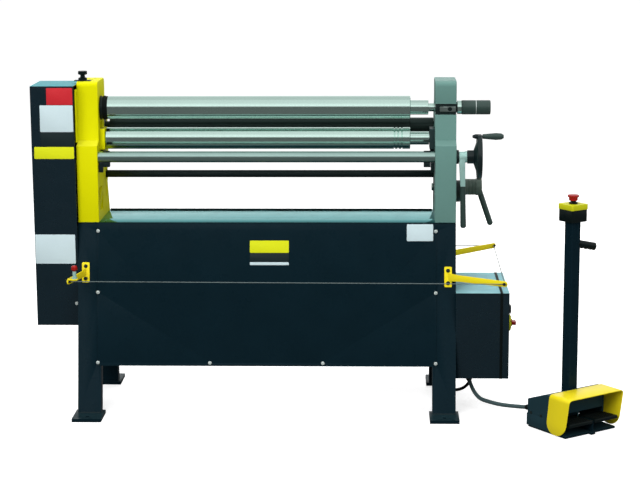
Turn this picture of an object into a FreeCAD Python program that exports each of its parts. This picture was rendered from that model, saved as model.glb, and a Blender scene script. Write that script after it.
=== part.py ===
"""Powered three-roll slip roll machine on a sheet stand, with a foot-pedal station.

The frame of the part: +X to the operator's right, +Y away from the operator, +Z up, in millimetres.
The origin is on the floor, at the centre of the four anchor holes.
Every driving size is a cell of the sheet "dims". A size that follows from others is a formula of those
cells, and each piece is bound to its sizes with expressions.
"""

import FreeCAD
import Part
import math
import os
import re

import Sketcher
from FreeCAD import Placement, Rotation, Vector

SIZES = {
    # rolls and their axes
    "roll_length": 1050, "left_end_gap": 19.2, "right_end_gap": 83.8,
    "upper_roll_radius": 40, "lower_roll_radius": 37.5, "rear_roll_radius": 37.5,
    "pinch_y": -4, "upper_axis_z": 1041, "lower_axis_z": 935, "rear_axis_y": 96, "rear_axis_z": 964,
    "lift_travel": 27.5, "rear_travel": 30, "neck_radius": 25, "neck_length": 61.8, "groove_width": 2.6,
    "groove_depth": 2, "lower_neck_radius": 23, "lower_journal_radius": 15, "rear_neck_radius": 30,
    "rear_journal_radius": 18, "end_journal_radius": 14, "edge_break": 1.5,
    # fits
    "running_fit": 0.05, "body_gap": 0.3, "screw_fit": 0.2,
    # side castings
    "casting_width": 72.5, "casting_front_y": -105, "casting_back_y": 157, "ledge_z": 920, "ledge_rise": 15,
    "ledge_setback": 40, "casting_top_z": 1137, "crown_back_y": 95, "crown_radius": 18, "waist_y": 118,
    "waist_z": 767, "boss_back_y": 124, "shoulder_z": 845, "shoulder_back_y": 150, "shoulder_top_z": 1010,
    "crown_neck_z": 1062, "casting_edge_radius": 3, "pocket_depth": 20, "pocket_low_z": 688,
    "pocket_top_z": 772, "pocket_radius": 6,
    # stand
    "stand_top_z": 657, "top_plate_thickness": 3, "leg_width": 80, "leg_depth": 40, "front_leg_foot_y": -225,
    "back_leg_foot_y": 234, "foot_thickness": 12, "foot_width": 100, "foot_length": 115, "anchor_pitch_y": 540,
    "anchor_radius": 7, "anchor_edge": 30, "rail_height": 20, "rail_low_z": 165, "side_sheet": 4,
    "side_sheet_inset": 6, "panel_sheet": 2, "panel_low_z": 172, "panel_overlap": 13, "panel_flange": 25,
    "shelf_thickness": 5, "bolt_radius": 8, "bolt_head_radius": 13, "bolt_head_height": 10, "bolt_reach": 30,
    "panel_screw_radius": 4.5, "panel_screw_head": 3, "rail_top_thickness": 12,
    # gear cover and drive
    "cover_width": 148, "cover_front_y": -129, "cover_depth": 190, "cover_low_z": 298, "cover_top_z": 1128,
    "cover_sheet": 2, "gear_module": 5, "upper_gear_teeth": 16, "lower_gear_teeth": 15, "gear_width": 26,
    "upper_gear_out": 41, "tooth_thinning": 0.4, "spindle_radius": 22, "cup_radius": 38, "cup_length": 10,
    "ball_radius": 15, "ball_neck_radius": 11, "socket_clearance": 0.3, "cross_pin_radius": 4,
    "cross_pin_half": 18, "pin_slot": 0.4, "chain_pitch": 12.7, "drive_sprocket_teeth": 26,
    "motor_sprocket_teeth": 15, "sprocket_width": 7, "sprocket_out": 96, "chain_height": 9, "chain_width": 12,
    "motor_axis_y": -34, "motor_axis_z": 400, "motor_shaft_radius": 12, "gearbox_size": 150, "motor_radius": 72,
    "motor_length": 230, "gearbox_gap": 18,
    # swing block of the upper roll
    "slot_height": 37.5, "slot_back_y": 20.4, "block_front_y": -60, "block_back_y": 20, "block_side_gap": 1.5,
    "release_collar_length": 15, "grip_radius": 23.5, "grip_length": 99, "grip_seam": 1.2, "collar_gap": 4.3,
    "lock_screw_radius": 7, "lock_screw_in": 50, "lock_screw_reach": 30, "collar_square": 46,
    # lower roll lift
    "lever_axis_y": -80, "lever_axis_z": 880, "tube_radius": 19, "block_flange": 17, "block_flange_half": 36,
    "block_slide_half_y": 26, "block_slide_half_z": 30, "block_depth": 48, "arm_thickness": 16, "arm_width": 14,
    "arm_hub_radius": 24, "lug_width": 24, "lug_drop": 40, "lug_half_y": 14,
    "lever_out": 8.5, "lever_width": 21, "lever_half_y": 18, "lever_drop": 100, "lever_boss_radius": 19.5,
    "lever_boss_length": 7.5, "lever_grip_radius": 11, "lever_grip_out": 26, "lever_grip_bottom_z": 634,
    "washer_radius": 24, "hub_radius": 23, "hub_length": 21, "wheel_radius": 77.5,
    "wheel_face_out": 86, "wheel_rim": 13, "crank_radius": 70, "crank_end_out": 160, "crank_pin_radius": 4,
    # rear roll lift
    "cross_axis_y": 100, "cross_axis_z": 795, "cross_shaft_radius": 13, "cross_end_radius": 10,
    "rack_module": 2, "pinion_teeth": 16, "adjuster_gear_teeth": 44, "pinion_width": 20,
    "pinion_start": 29.5, "adjuster_gear_start": 6.5, "adjuster_gear_width": 18, "adjuster_y": 55,
    "rear_block_half_y": 29.7, "rear_block_half_z": 30, "rear_block_depth": 51, "rack_back": 14,
    "rack_extra": 16, "adjuster_shaft_radius": 11, "adjuster_hub_radius": 28, "adjuster_hub_out": 35,
    "adjuster_hub_length": 57, "adjuster_bar_radius": 9, "adjuster_bar_lean": 39, "adjuster_bar_drop": 118,
    "flange_radius": 38, "flange_drop": 15, "flange_length": 14, "nut_radius": 13, "nut_height": 7,
    "cavity_gap": 1, "cavity_plate": 3,
    # knob on the left casting
    "knob_in": 19, "knob_y": -38, "knob_plate_half": 28, "knob_plate_depth": 12, "knob_plate_height": 3,
    "knob_radius": 15.5, "knob_height": 31, "knob_stem_radius": 5, "knob_stem_reach": 22,
    # electrical cabinet
    "cabinet_depth": 155, "cabinet_half": 175, "cabinet_low_z": 125, "cabinet_height": 300, "cabinet_wall": 2,
    "seal_width": 4.5, "door_thickness": 22, "hinge_radius": 6, "hinge_pin_radius": 2.5, "hinge_length": 40,
    "hinge_inset_z": 55, "latch_y": -130, "latch_z": 360, "latch_radius": 12, "latch_reach": 9,
    "switch_y": -50, "switch_z": 294, "switch_radius": 29, "switch_thickness": 15, "switch_knob_radius": 11,
    "switch_knob_length": 17, "gland_radius": 12, "gland_height": 25,
    # trip wire
    "arm_height": 20, "arm_sheet": 5, "arm_plate_width": 26, "arm_plate_height": 70, "arm_plate_in": 27,
    "left_arm_z": 487, "right_arm_z": 474, "rear_arm_z": 489, "left_end_out": 8, "left_end_y": -288,
    "right_end_out": 159, "right_end_y": -254, "rear_end_y": 352, "rear_left_end_out": 16, "wire_radius": 1.5,
    "arm_screw_radius": 5, "arm_screw_pitch": 42, "switch_body_radius": 10, "switch_body_height": 26,
    "reset_radius": 10.5, "reset_height": 14, "reset_travel": 4,
    # plates
    "plate_sheet": 1,
    # pedal station, in its own axes: u across, v back, z up
    "station_out": 438.4, "station_y": -402.8, "station_turn": 36.3, "pedal_half": 111, "housing_half": 118,
    "housing_front_v": 62, "housing_back_v": 184, "housing_top_z": 132, "housing_slope_v": 92,
    "housing_rear_z": 98, "housing_wall": 3, "base_thickness": 8, "hood_half": 121.5, "hood_front_v": -27,
    "hood_back_v": 70, "hood_top_z": 138, "hood_sheet": 3, "hood_radius": 12, "hood_low_z": 12,
    "pedal_gap": 5, "pedal_thickness": 12, "pedal_front_v": -14, "pedal_rise": 8, "pedal_pivot_v": 78,
    "pedal_pivot_z": 36, "pedal_pin_radius": 4, "fin_half": 1.5, "fin_height": 40, "post_side": 38,
    "post_wall": 3, "post_room": 11, "post_top_z": 701, "post_fit": 0.2, "grip_z": 618, "post_grip_radius": 14,
    "post_grip_length": 62, "box_side": 68, "box_height": 40, "box_lid_height": 15, "button_radius": 19,
    "button_height": 22, "button_stem_radius": 9, "button_rise": 14, "button_travel": 5, "pedal_gland_u": -85,
    "pedal_gland_z": 58,
    # cables
    "cable_radius": 7, "pedal_gland_out": 41, "pedal_gland_y": -60, "motor_cable_radius": 5.5,
    "motor_gland_out": 63, "motor_gland_y": -20,
}

FORMULAS = {
    "inner_face": "(roll_length + left_end_gap + right_end_gap) / 2",
    "outer_face": "inner_face + casting_width",
    "roll_left": "left_end_gap - inner_face",
    "roll_right": "inner_face - right_end_gap",
    "leg_centre": "outer_face - leg_width / 2",
    "knob_x": "knob_in - outer_face",
    "upper_gear_x": "outer_face + upper_gear_out",
    "sprocket_x": "outer_face + sprocket_out",
    "lock_screw_x": "inner_face + lock_screw_in",
    "lever_x": "outer_face + lever_out",
    "lever_grip_x": "outer_face + lever_grip_out",
    "hub_start_x": "lever_x + lever_width + lever_boss_length + body_gap",
    "wheel_face_x": "outer_face + wheel_face_out",
    "crank_end_x": "outer_face + crank_end_out",
    "adjuster_hub_x": "outer_face + adjuster_hub_out",
    "arm_plate_x": "outer_face - arm_plate_in",
    "left_end_x": "0 - outer_face - left_end_out",
    "right_end_x": "outer_face + right_end_out",
    "rear_left_end_x": "0 - outer_face - rear_left_end_out",
    "pedal_gland_x": "outer_face + pedal_gland_out",
    "motor_gland_x": "outer_face + motor_gland_out",
    "station_x": "outer_face + station_out",
    "panel_half": "outer_face - leg_width + panel_overlap",
    "front_slope": "(casting_front_y - front_leg_foot_y) / (under_plate_z - foot_thickness)",
    "back_slope": "(back_leg_foot_y - casting_back_y) / (under_plate_z - foot_thickness)",
    "under_plate_z": "stand_top_z - top_plate_thickness",
    "feet_half": "anchor_pitch_y / 2 + anchor_edge",
    "cover_left": "outer_face + cover_width",
    "swing_x": "0 - inner_face",
    "lower_slot_low": "lower_axis_z - block_slide_half_z - 1",
    "lower_slot_top": "lower_axis_z + block_slide_half_z + lift_travel + 2",
    "rear_slot_low": "rear_axis_z - rear_block_half_z - rear_travel - 1",
    "rear_slot_top": "rear_axis_z + rear_block_half_z + rear_travel + 1",
    "rack_low": "cross_axis_z - rear_travel - rack_extra",
    "nose_radius": "arm_thickness / 2",
    "nose_z": "lever_axis_z + lift_roller - nose_radius",
    "pinion_pitch": "rack_module * pinion_teeth / 2",
    "rack_line_y": "cross_axis_y - pinion_pitch",
    "adjuster_centres": "rack_module * (pinion_teeth + adjuster_gear_teeth) / 2",
    "adjuster_z": "cross_axis_z - sqrt(adjuster_centres^2 - (cross_axis_y - adjuster_y)^2)",
    "collar_x": "outer_face + collar_gap",
    "grip_x": "collar_x + release_collar_length",
    "lift_arm": "pinch_y - lever_axis_y",
    "lift_roller": "lower_axis_z - block_flange_half - body_gap - lever_axis_z",
    "wheel_hub_end": "hub_start_x + hub_length",
    "door_x": "outer_face + cabinet_depth + seal_width + body_gap",
    "door_face": "door_x + door_thickness",
    "cabinet_top": "cabinet_low_z + cabinet_height",
    "hinge_x": "door_x + 3",
    "hinge_y": "cabinet_half + hinge_radius + 1",
    "motor_base_z": "rail_low_z + rail_height + shelf_thickness",
    "drive_sprocket_radius": "chain_pitch * drive_sprocket_teeth / 6.28318530718",
    "motor_sprocket_radius": "chain_pitch * motor_sprocket_teeth / 6.28318530718",
    "post_v": "pedal_pivot_v + post_room + post_side / 2",
    "box_z": "post_top_z",
    "lid_z": "post_top_z + box_height",
    "lid_top": "lid_z + box_lid_height",
}

doc = FreeCAD.newDocument("slip_roll_machine")
dims = doc.addObject("Spreadsheet::Sheet", "dims")
nodes = {}


def fill_sheet():
    """Write each driving size into a cell of the sheet, under its own alias."""
    for line, (name, value) in enumerate(SIZES.items(), start=1):
        dims.set("A%d" % line, name)
        dims.set("B%d" % line, str(value))
        dims.setAlias("B%d" % line, name)
    doc.recompute()


def expr(text):
    """Spell a size out for the document: each word becomes its cell, or the formula that it stands for."""
    def word(match):
        name = match.group(0)
        if name == "sqrt":
            return name
        return "(%s)" % expr(FORMULAS[name]) if name in FORMULAS else "dims." + name
    return re.sub(r"[a-z][a-z_]*[a-z]", word, str(text))


def size(text):
    """The value of a size or formula now, in millimetres."""
    return float(dims.evalExpression(expr(text)))


def minus(text):
    """The same size on the other side of zero."""
    return "0 - (%s)" % text


def node(piece, *_):
    """Keep a finished piece under its label, which is its node's name."""
    nodes[piece.Label] = piece
    return piece


def placed(piece, x=None, y=None, z=None):
    """Bind the place of a piece to three sizes."""
    for axis, text in zip("xyz", (x, y, z)):
        if text is not None:
            piece.setExpression("Placement.Base." + axis, expr(text))
    return piece


def box(label, x, y, z):
    """A block between a low and a high size along each axis."""
    piece = doc.addObject("Part::Box", label)
    for name, (low, high) in zip(("Length", "Width", "Height"), (x, y, z)):
        piece.setExpression(name, expr("(%s) - (%s)" % (high, low)))
    return placed(piece, x[0], y[0], z[0])


AXIS_TURN = {"x": Rotation(Vector(0, 1, 0), 90), "y": Rotation(Vector(1, 0, 0), -90), "z": Rotation()}


def rod(label, axis, at, radius, low, high):
    """A round bar along an axis, from low to high. at holds its other two coordinates, in X, Y, Z order."""
    piece = doc.addObject("Part::Cylinder", label)
    piece.setExpression("Radius", expr(radius))
    piece.setExpression("Height", expr("(%s) - (%s)" % (high, low)))
    piece.Placement = Placement(Vector(), AXIS_TURN[axis])
    where = list(at)
    where.insert("xyz".index(axis), low)
    return placed(piece, *where)


def cut(label, base, *tools):
    """A piece with the shapes of the tools taken out of it."""
    piece = doc.addObject("Part::Cut", label)
    piece.Base = base
    piece.Tool = tools[0] if len(tools) == 1 else fuse(label + "_tools", *tools)
    return piece


def fuse(label, *parts):
    """Several shapes made one."""
    piece = doc.addObject("Part::MultiFuse", label)
    piece.Shapes = list(parts)
    return piece


def group(label, *parts):
    """Separate pieces of one kind, kept under one label."""
    piece = doc.addObject("Part::Compound", label)
    piece.Links = list(parts)
    return piece


def outline(body, role, points, label):
    """A closed sketch on an origin plane of the body, each corner bound to two sizes."""
    sketch = body.newObject("Sketcher::SketchObject", label + "_sketch")
    sketch.AttachmentSupport = [(next(o for o in body.Origin.OriginFeatures if o.Role == role), "")]
    sketch.MapMode = "FlatFace"
    corners = [Vector(size(a), size(b), 0) for a, b in points]
    for start, end in zip(corners, corners[1:] + corners[:1]):
        sketch.addGeometry(Part.LineSegment(start, end))
    last = len(points)
    sketch.addConstraint([Sketcher.Constraint("Coincident", k, 2, (k + 1) % last, 1) for k in range(last)])
    for k, (pair, corner) in enumerate(zip(points, corners)):
        for kind, text, now in zip(("DistanceX", "DistanceY"), pair, corner):
            made = sketch.addConstraint(Sketcher.Constraint(kind, -1, 1, k, 1, now))
            sketch.setExpression("Constraints[%d]" % made, expr(text))
    return sketch


def prism(label, role, points, low, high):
    """A body with straight walls: an outline on an origin plane, from low to high along the plane's normal.

    The outline's axes are Y and Z on YZ_Plane, X and Y on XY_Plane, and X and Z on XZ_Plane.
    """
    body = doc.addObject("PartDesign::Body", label)
    sketch = outline(body, role, points, label)
    start = minus(high) if role == "XZ_Plane" else low
    sketch.setExpression("AttachmentOffset.Base.z", expr(start))
    pad = body.newObject("PartDesign::Pad", label + "_pad")
    pad.Profile = sketch
    pad.setExpression("Length", expr("(%s) - (%s)" % (high, low)))
    return body


def turned(label, axis, at, points):
    """A body of revolution about an axis along X, Y or Z, from points (place along the axis, radius)."""
    body = doc.addObject("PartDesign::Body", label)
    sketch = outline(body, "XY_Plane", points, label)
    spin = body.newObject("PartDesign::Revolution", label + "_spin")
    spin.Profile = sketch
    spin.ReferenceAxis = (sketch, ["H_Axis"])
    spin.Angle = 360
    turns = {"x": Rotation(), "y": Rotation(Vector(0, 0, 1), 90), "z": Rotation(Vector(0, 1, 0), -90)}
    body.Placement = Placement(Vector(), turns[axis])
    where = list(at)
    where.insert("xyz".index(axis), "0")
    return placed(body, *where)


def rounded(label, base, radius, test):
    """A piece whose edges that pass the test are rounded."""
    doc.recompute()
    piece = doc.addObject("Part::Fillet", label)
    piece.Base = base
    reach = size(radius)
    piece.Edges = [(k, reach, reach) for k, edge in enumerate(base.Shape.Edges, start=1) if test(edge)]
    return piece


def runs_along(edge, axis):
    """True for a straight edge parallel to the axis, 0, 1 or 2."""
    if edge.Curve.TypeId != "Part::GeomLine":
        return False
    return abs(edge.Curve.Direction[axis]) > 0.999


def near(value, text, reach=0.2):
    """True where a coordinate is at a size, within a small reach."""
    return abs(value - size(text)) < reach


def shaped(label, shape):
    """A piece whose shape is worked out here, from values of the sheet."""
    piece = doc.addObject("Part::Feature", label)
    piece.Shape = shape
    return piece


# ---------------------------------------------------------------- teeth and chain

def tooth_points(module, teeth, first, thinning):
    """Corners of an involute spur gear, as (y, z). A tooth points along the angle first."""
    pitch = module * teeth / 2
    base = pitch * math.cos(math.radians(20))
    root = pitch - 1.25 * module
    tip = pitch + module

    def half_angle(radius):
        slope = math.acos(min(1, base / radius))
        pressure = math.radians(20)
        at_pitch = math.pi / (2 * teeth) - thinning / (module * teeth)
        return at_pitch + math.tan(pressure) - pressure - math.tan(slope) + slope

    steps = 5
    low = max(base, root)
    flank = [low + (tip - low) * k / steps for k in range(steps + 1)]
    points = []
    for tooth in range(teeth):
        middle = first + tooth * 2 * math.pi / teeth
        rising = [(root, middle - half_angle(low))] + [(r, middle - half_angle(r)) for r in flank]
        falling = [(r, middle + half_angle(r)) for r in reversed(flank)] + [(root, middle + half_angle(low))]
        points += [(r * math.cos(a), r * math.sin(a)) for r, a in rising + falling]
    return points


def gear(label, low, high, centre, module, teeth, first, bore):
    """A spur gear along X between low and high, with a tooth along the angle first and a round bore."""
    y, z = (size(text) for text in centre)
    count = round(size(teeth))
    corners = [Vector(size(low), y + a, z + b)
               for a, b in tooth_points(size(module), count, first, size("tooth_thinning"))]
    face = Part.Face(Part.makePolygon(corners + corners[:1]))
    length = size(high) - size(low)
    blank = face.extrude(Vector(length, 0, 0))
    hole = Part.makeCylinder(size(bore), length, Vector(size(low), y, z), Vector(1, 0, 0))
    return shaped(label, blank.cut(hole))


def band(first, first_radius, second, second_radius, low, high):
    """A closed belt shape round two circles in the YZ plane, between low and high along X."""
    dy, dz = second[0] - first[0], second[1] - first[1]
    reach = math.hypot(dy, dz)
    along = math.atan2(dz, dy)
    lean = math.acos((first_radius - second_radius) / reach)

    def spot(centre, radius, angle):
        return Vector(low, centre[0] + radius * math.cos(angle), centre[1] + radius * math.sin(angle))

    up, down = along + lean, along - lean
    far, back = along, along + math.pi
    edges = [
        Part.Arc(spot(first, first_radius, up), spot(first, first_radius, back),
                 spot(first, first_radius, down)).toShape(),
        Part.LineSegment(spot(first, first_radius, down), spot(second, second_radius, down)).toShape(),
        Part.Arc(spot(second, second_radius, down), spot(second, second_radius, far),
                 spot(second, second_radius, up)).toShape(),
        Part.LineSegment(spot(second, second_radius, up), spot(first, first_radius, up)).toShape(),
    ]
    return Part.Face(Part.Wire(edges)).extrude(Vector(high - low, 0, 0))


# ---------------------------------------------------------------- places on the sloping legs

def front_y(z, out="0"):
    """Y of the front face of the legs at a height, moved forward by out."""
    return "front_leg_foot_y + front_slope * ((%s) - foot_thickness) - (%s)" % (z, out)


def back_y(z, out="0"):
    """Y of the back face of the legs at a height, moved back by out."""
    return "back_leg_foot_y - back_slope * ((%s) - foot_thickness) + (%s)" % (z, out)


def slab(label, x, z, out, where=front_y):
    """A flat piece that lies along the sloping face, between two distances out of it."""
    points = [(where(z[0], out[0]), z[0]), (where(z[0], out[1]), z[0]), (where(z[1], out[1]), z[1]),
              (where(z[1], out[0]), z[1])]
    return prism(label, "YZ_Plane", points, x[0], x[1])


def face_rod(label, x, z, radius, out, where=front_y):
    """A round bar square to the sloping face, between two distances out of it."""
    forward = where is front_y
    slope = size("front_slope" if forward else "back_slope")
    lean = math.degrees(math.atan(slope))
    piece = doc.addObject("Part::Cylinder", label)
    piece.setExpression("Radius", expr(radius))
    piece.setExpression("Height", expr("(%s) - (%s)" % (out[1], out[0])))
    turn = Rotation(Vector(1, 0, 0), 90 - lean if forward else -90 + lean)
    piece.Placement = Placement(Vector(), turn)
    inset = out[0]
    shift = "(%s) * %.9f" % (inset, math.cos(math.radians(lean)))
    rise = "(%s) * %.9f" % (inset, math.sin(math.radians(lean)))
    height = "(%s) + %s" % (z, rise)
    at_face = where(z)
    y = "(%s) - %s" % (at_face, shift) if forward else "(%s) + %s" % (at_face, shift)
    return placed(piece, x, y, height)


def sides(side, low, high):
    """Low and high X of something that lies between two distances from the middle, on one side."""
    return (low, high) if side > 0 else (minus(high), minus(low))


def from_middle(side, text):
    """X of a place at a distance from the middle, on one side."""
    return text if side > 0 else minus(text)


# ---------------------------------------------------------------- stand

def panel_screw_places():
    """X and Z of the screws of a stand panel: three down each side and two along the bottom."""
    edge = "panel_half - 2"
    levels = ["stand_top_z - 30", "(stand_top_z + panel_low_z) / 2 + 5", "panel_low_z + 10"]
    places = [(from_middle(side, edge), z) for side in (-1, 1) for z in levels]
    return places + [(minus("panel_half / 3"), levels[2]), ("panel_half / 3", levels[2])]


def leg_frame(side, name):
    """Two legs with feet, a middle rail, a top rail and the sheet that closes the side."""
    x = sides(side, "outer_face - leg_width", "outer_face")
    low, top = "foot_thickness", "under_plate_z"
    front = prism(name + "_front_leg", "YZ_Plane", [
        (front_y(low), low), (front_y(low, minus("leg_depth")), low),
        (front_y(top, minus("leg_depth")), top), (front_y(top), top)], *x)
    back = prism(name + "_back_leg", "YZ_Plane", [
        (back_y(low, minus("leg_depth")), low), (back_y(low), low), (back_y(top), top),
        (back_y(top, minus("leg_depth")), top)], *x)
    foot = sides(side, "leg_centre - foot_width / 2", "leg_centre + foot_width / 2")
    feet = [box(name + "_foot_front", foot, (minus("feet_half"), "foot_length - feet_half"), ("0", low)),
            box(name + "_foot_back", foot, ("feet_half - foot_length", "feet_half"), ("0", low))]
    rail_x = sides(side, "outer_face - leg_width + side_sheet_inset", "outer_face - side_sheet")
    rail_top = "rail_low_z + rail_height"
    inner = minus("leg_depth / 2")
    rail = prism(name + "_rail", "YZ_Plane", [
        (front_y("rail_low_z", inner), "rail_low_z"), (back_y("rail_low_z", inner), "rail_low_z"),
        (back_y(rail_top, inner), rail_top), (front_y(rail_top, inner), rail_top)], *rail_x)
    sheet_x = sides(side, "outer_face - side_sheet - side_sheet_inset", "outer_face - side_sheet_inset")
    sheet = prism(name + "_sheet", "YZ_Plane", [
        (front_y("rail_low_z", inner), "rail_low_z"), (back_y("rail_low_z", inner), "rail_low_z"),
        (back_y(top, inner), top), (front_y(top, inner), top)], *sheet_x)
    top_rail = box(name + "_top_rail", rail_x, ("casting_front_y + leg_depth / 2",
                   "casting_back_y - leg_depth / 2"), ("under_plate_z - rail_top_thickness", top))
    whole = fuse(name + "_whole", front, back, *feet, rail, sheet, top_rail)
    middle = from_middle(side, "leg_centre")
    holes = [rod(name + "_anchor_%d" % k, "z", (middle, y), "anchor_radius", "0", low)
             for k, y in enumerate((minus("anchor_pitch_y / 2"), "anchor_pitch_y / 2"))]
    holes += [rod(name + "_bolt_hole_%d" % k, "z", (x, y), "bolt_radius + body_gap",
                  "under_plate_z - rail_top_thickness", top) for k, (x, y) in enumerate(bolt_places(side))]
    for face, where in (("front", front_y), ("back", back_y)):
        for k, (x_text, z) in enumerate(panel_screw_places()[:3] if side < 0 else panel_screw_places()[3:6]):
            holes.append(face_rod(name + "_%s_tap_%d" % (face, k), x_text, z,
                                  "panel_screw_radius / 2 + body_gap", (minus("14"), "0.5"), where))
    if side < 0:
        holes.append(rod(name + "_shaft_hole", "x", ("motor_axis_y", "motor_axis_z"),
                         "motor_shaft_radius + 4", minus("outer_face"), minus("inner_face")))
    return node(cut(name, whole, *holes))


def bolt_places(side):
    """X and Y of the bolts that hold a casting down."""
    middle = from_middle(side, "inner_face + casting_width / 2")
    return [(middle, "casting_front_y + 75"), (middle, "casting_back_y - 62")]


def stand_panel(name, where, out):
    """A folded sheet panel along the sloping legs, with a flange under it and its screws."""
    inner = "outer_face - leg_width - 1"
    x = (minus("panel_half"), "panel_half")
    face = slab(name + "_face", x, ("panel_low_z", "under_plate_z"), ("0", "panel_sheet"), where)
    flange_y = [where("panel_low_z"), where("panel_low_z", minus("panel_flange"))]
    flange = box(name + "_flange", (minus(inner), inner), flange_y if out > 0 else flange_y[::-1],
                 ("panel_low_z", "panel_low_z + panel_sheet"))
    holes = [face_rod("%s_hole_%d" % (name, k), x_text, z, "panel_screw_radius / 2 + body_gap",
                      (minus("2"), "panel_sheet + 2"), where)
             for k, (x_text, z) in enumerate(panel_screw_places())]
    return node(cut(name, fuse(name + "_folded", face, flange), *holes))


def panel_screws(name, where):
    """Round-head screws that hold a stand panel to the legs and to the shelf."""
    slope = size("front_slope" if where is front_y else "back_slope")
    square = "%.9f" % math.cos(math.atan(slope))
    seat = "panel_sheet * " + square
    parts = []
    for k, (x, z) in enumerate(panel_screw_places()):
        head = face_rod("%s_head_%d" % (name, k), x, z, "panel_screw_radius",
                        (seat, seat + " + panel_screw_head"), where)
        shank = face_rod("%s_shank_%d" % (name, k), x, z, "panel_screw_radius / 2", (minus("12"), seat), where)
        parts += [head, shank]
    return parts


def stand():
    """Everything below the side castings. Gives its screws and bolts."""
    leg_frame(-1, "left_leg_frame")
    leg_frame(1, "right_leg_frame")
    top_y = ("casting_front_y - panel_sheet - 0.1", "casting_back_y + panel_sheet + 0.1")
    top = box("stand_top_sheet", (minus("outer_face"), "outer_face"), top_y, ("under_plate_z", "stand_top_z"))
    holes = [rod("stand_top_hole_%d" % k, "z", place, "bolt_radius + body_gap", "under_plate_z", "stand_top_z")
             for k, place in enumerate(bolt_places(-1) + bolt_places(1))]
    node(cut("stand_top", top, *holes))
    stand_panel("front_panel", front_y, 1)
    stand_panel("rear_panel", back_y, -1)
    screws = panel_screws("front_screw", front_y) + panel_screws("rear_screw", back_y)

    rail_top = "rail_low_z + rail_height"
    shelf_x = ("outer_face - 30", "outer_face - leg_width - 2")
    deck = box("shelf_deck", (minus(shelf_x[0]), shelf_x[0]),
               (front_y(rail_top, minus("leg_depth + 3")), back_y(rail_top, minus("leg_depth + 3"))),
               (rail_top, "motor_base_z"))
    apron = box("shelf_apron", (minus(shelf_x[1]), shelf_x[1]),
                (front_y(rail_top, minus("1.5")), back_y(rail_top, minus("1.5"))), (rail_top, "motor_base_z"))
    lips = []
    for k, (where, order) in enumerate(((front_y, 1), (back_y, -1))):
        y = [where("motor_base_z", minus("1")), where("motor_base_z", minus("8"))][::order]
        lips.append(box("shelf_lip_%d" % k, (minus(shelf_x[1]), shelf_x[1]), y,
                        ("panel_low_z + 4", "motor_base_z")))
    shelf_holes = []
    for face, where in (("front", front_y), ("back", back_y)):
        for k, (x, z) in enumerate(panel_screw_places()[6:]):
            shelf_holes.append(face_rod("shelf_%s_tap_%d" % (face, k), x, z,
                                        "panel_screw_radius / 2 + body_gap", (minus("16"), "1"), where))
    node(cut("motor_shelf", fuse("shelf_whole", deck, apron, *lips), *shelf_holes))

    bolts = []
    for k, place in enumerate(bolt_places(-1) + bolt_places(1)):
        seat = "under_plate_z - rail_top_thickness"
        bolts.append(rod("frame_bolt_head_%d" % k, "z", place, "bolt_head_radius",
                         seat + " - bolt_head_height", seat))
        bolts.append(rod("frame_bolt_shank_%d" % k, "z", place, "bolt_radius", seat,
                         "stand_top_z + bolt_reach"))
    return screws + bolts


# ---------------------------------------------------------------- side castings

def casting_blank(name, side):
    """The solid outline of a side casting, with its crown and its edges rounded."""
    step = "casting_front_y + ledge_setback"
    body = prism(name + "_blank", "YZ_Plane", [
        ("casting_front_y", "stand_top_z"), ("casting_front_y", "ledge_z"), (step, "ledge_z + ledge_rise"),
        (step, "casting_top_z"), ("crown_back_y", "casting_top_z"), ("crown_back_y", "crown_neck_z"),
        ("shoulder_back_y", "shoulder_top_z"), ("shoulder_back_y", "shoulder_z"),
        ("boss_back_y", "shoulder_z - 25"), ("boss_back_y", "waist_z + 8"), ("waist_y", "waist_z"),
        ("casting_back_y", "stand_top_z")], *sides(side, "inner_face", "outer_face"))
    crown = rounded(name + "_crown", body, "crown_radius", lambda edge: runs_along(edge, 0) and near(
        edge.CenterOfMass.z, "casting_top_z"))
    return rounded(name + "_soft", crown, "casting_edge_radius", lambda edge: not runs_along(edge, 0) and (
        edge.CenterOfMass.z > size("stand_top_z") + 1) and edge.BoundBox.XLength < 0.01)


def pocket(name, side, points):
    """A three-cornered recess in the inner face of a casting."""
    return prism(name, "YZ_Plane", points, *sides(side, "inner_face - 1", "inner_face + pocket_depth"))


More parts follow.
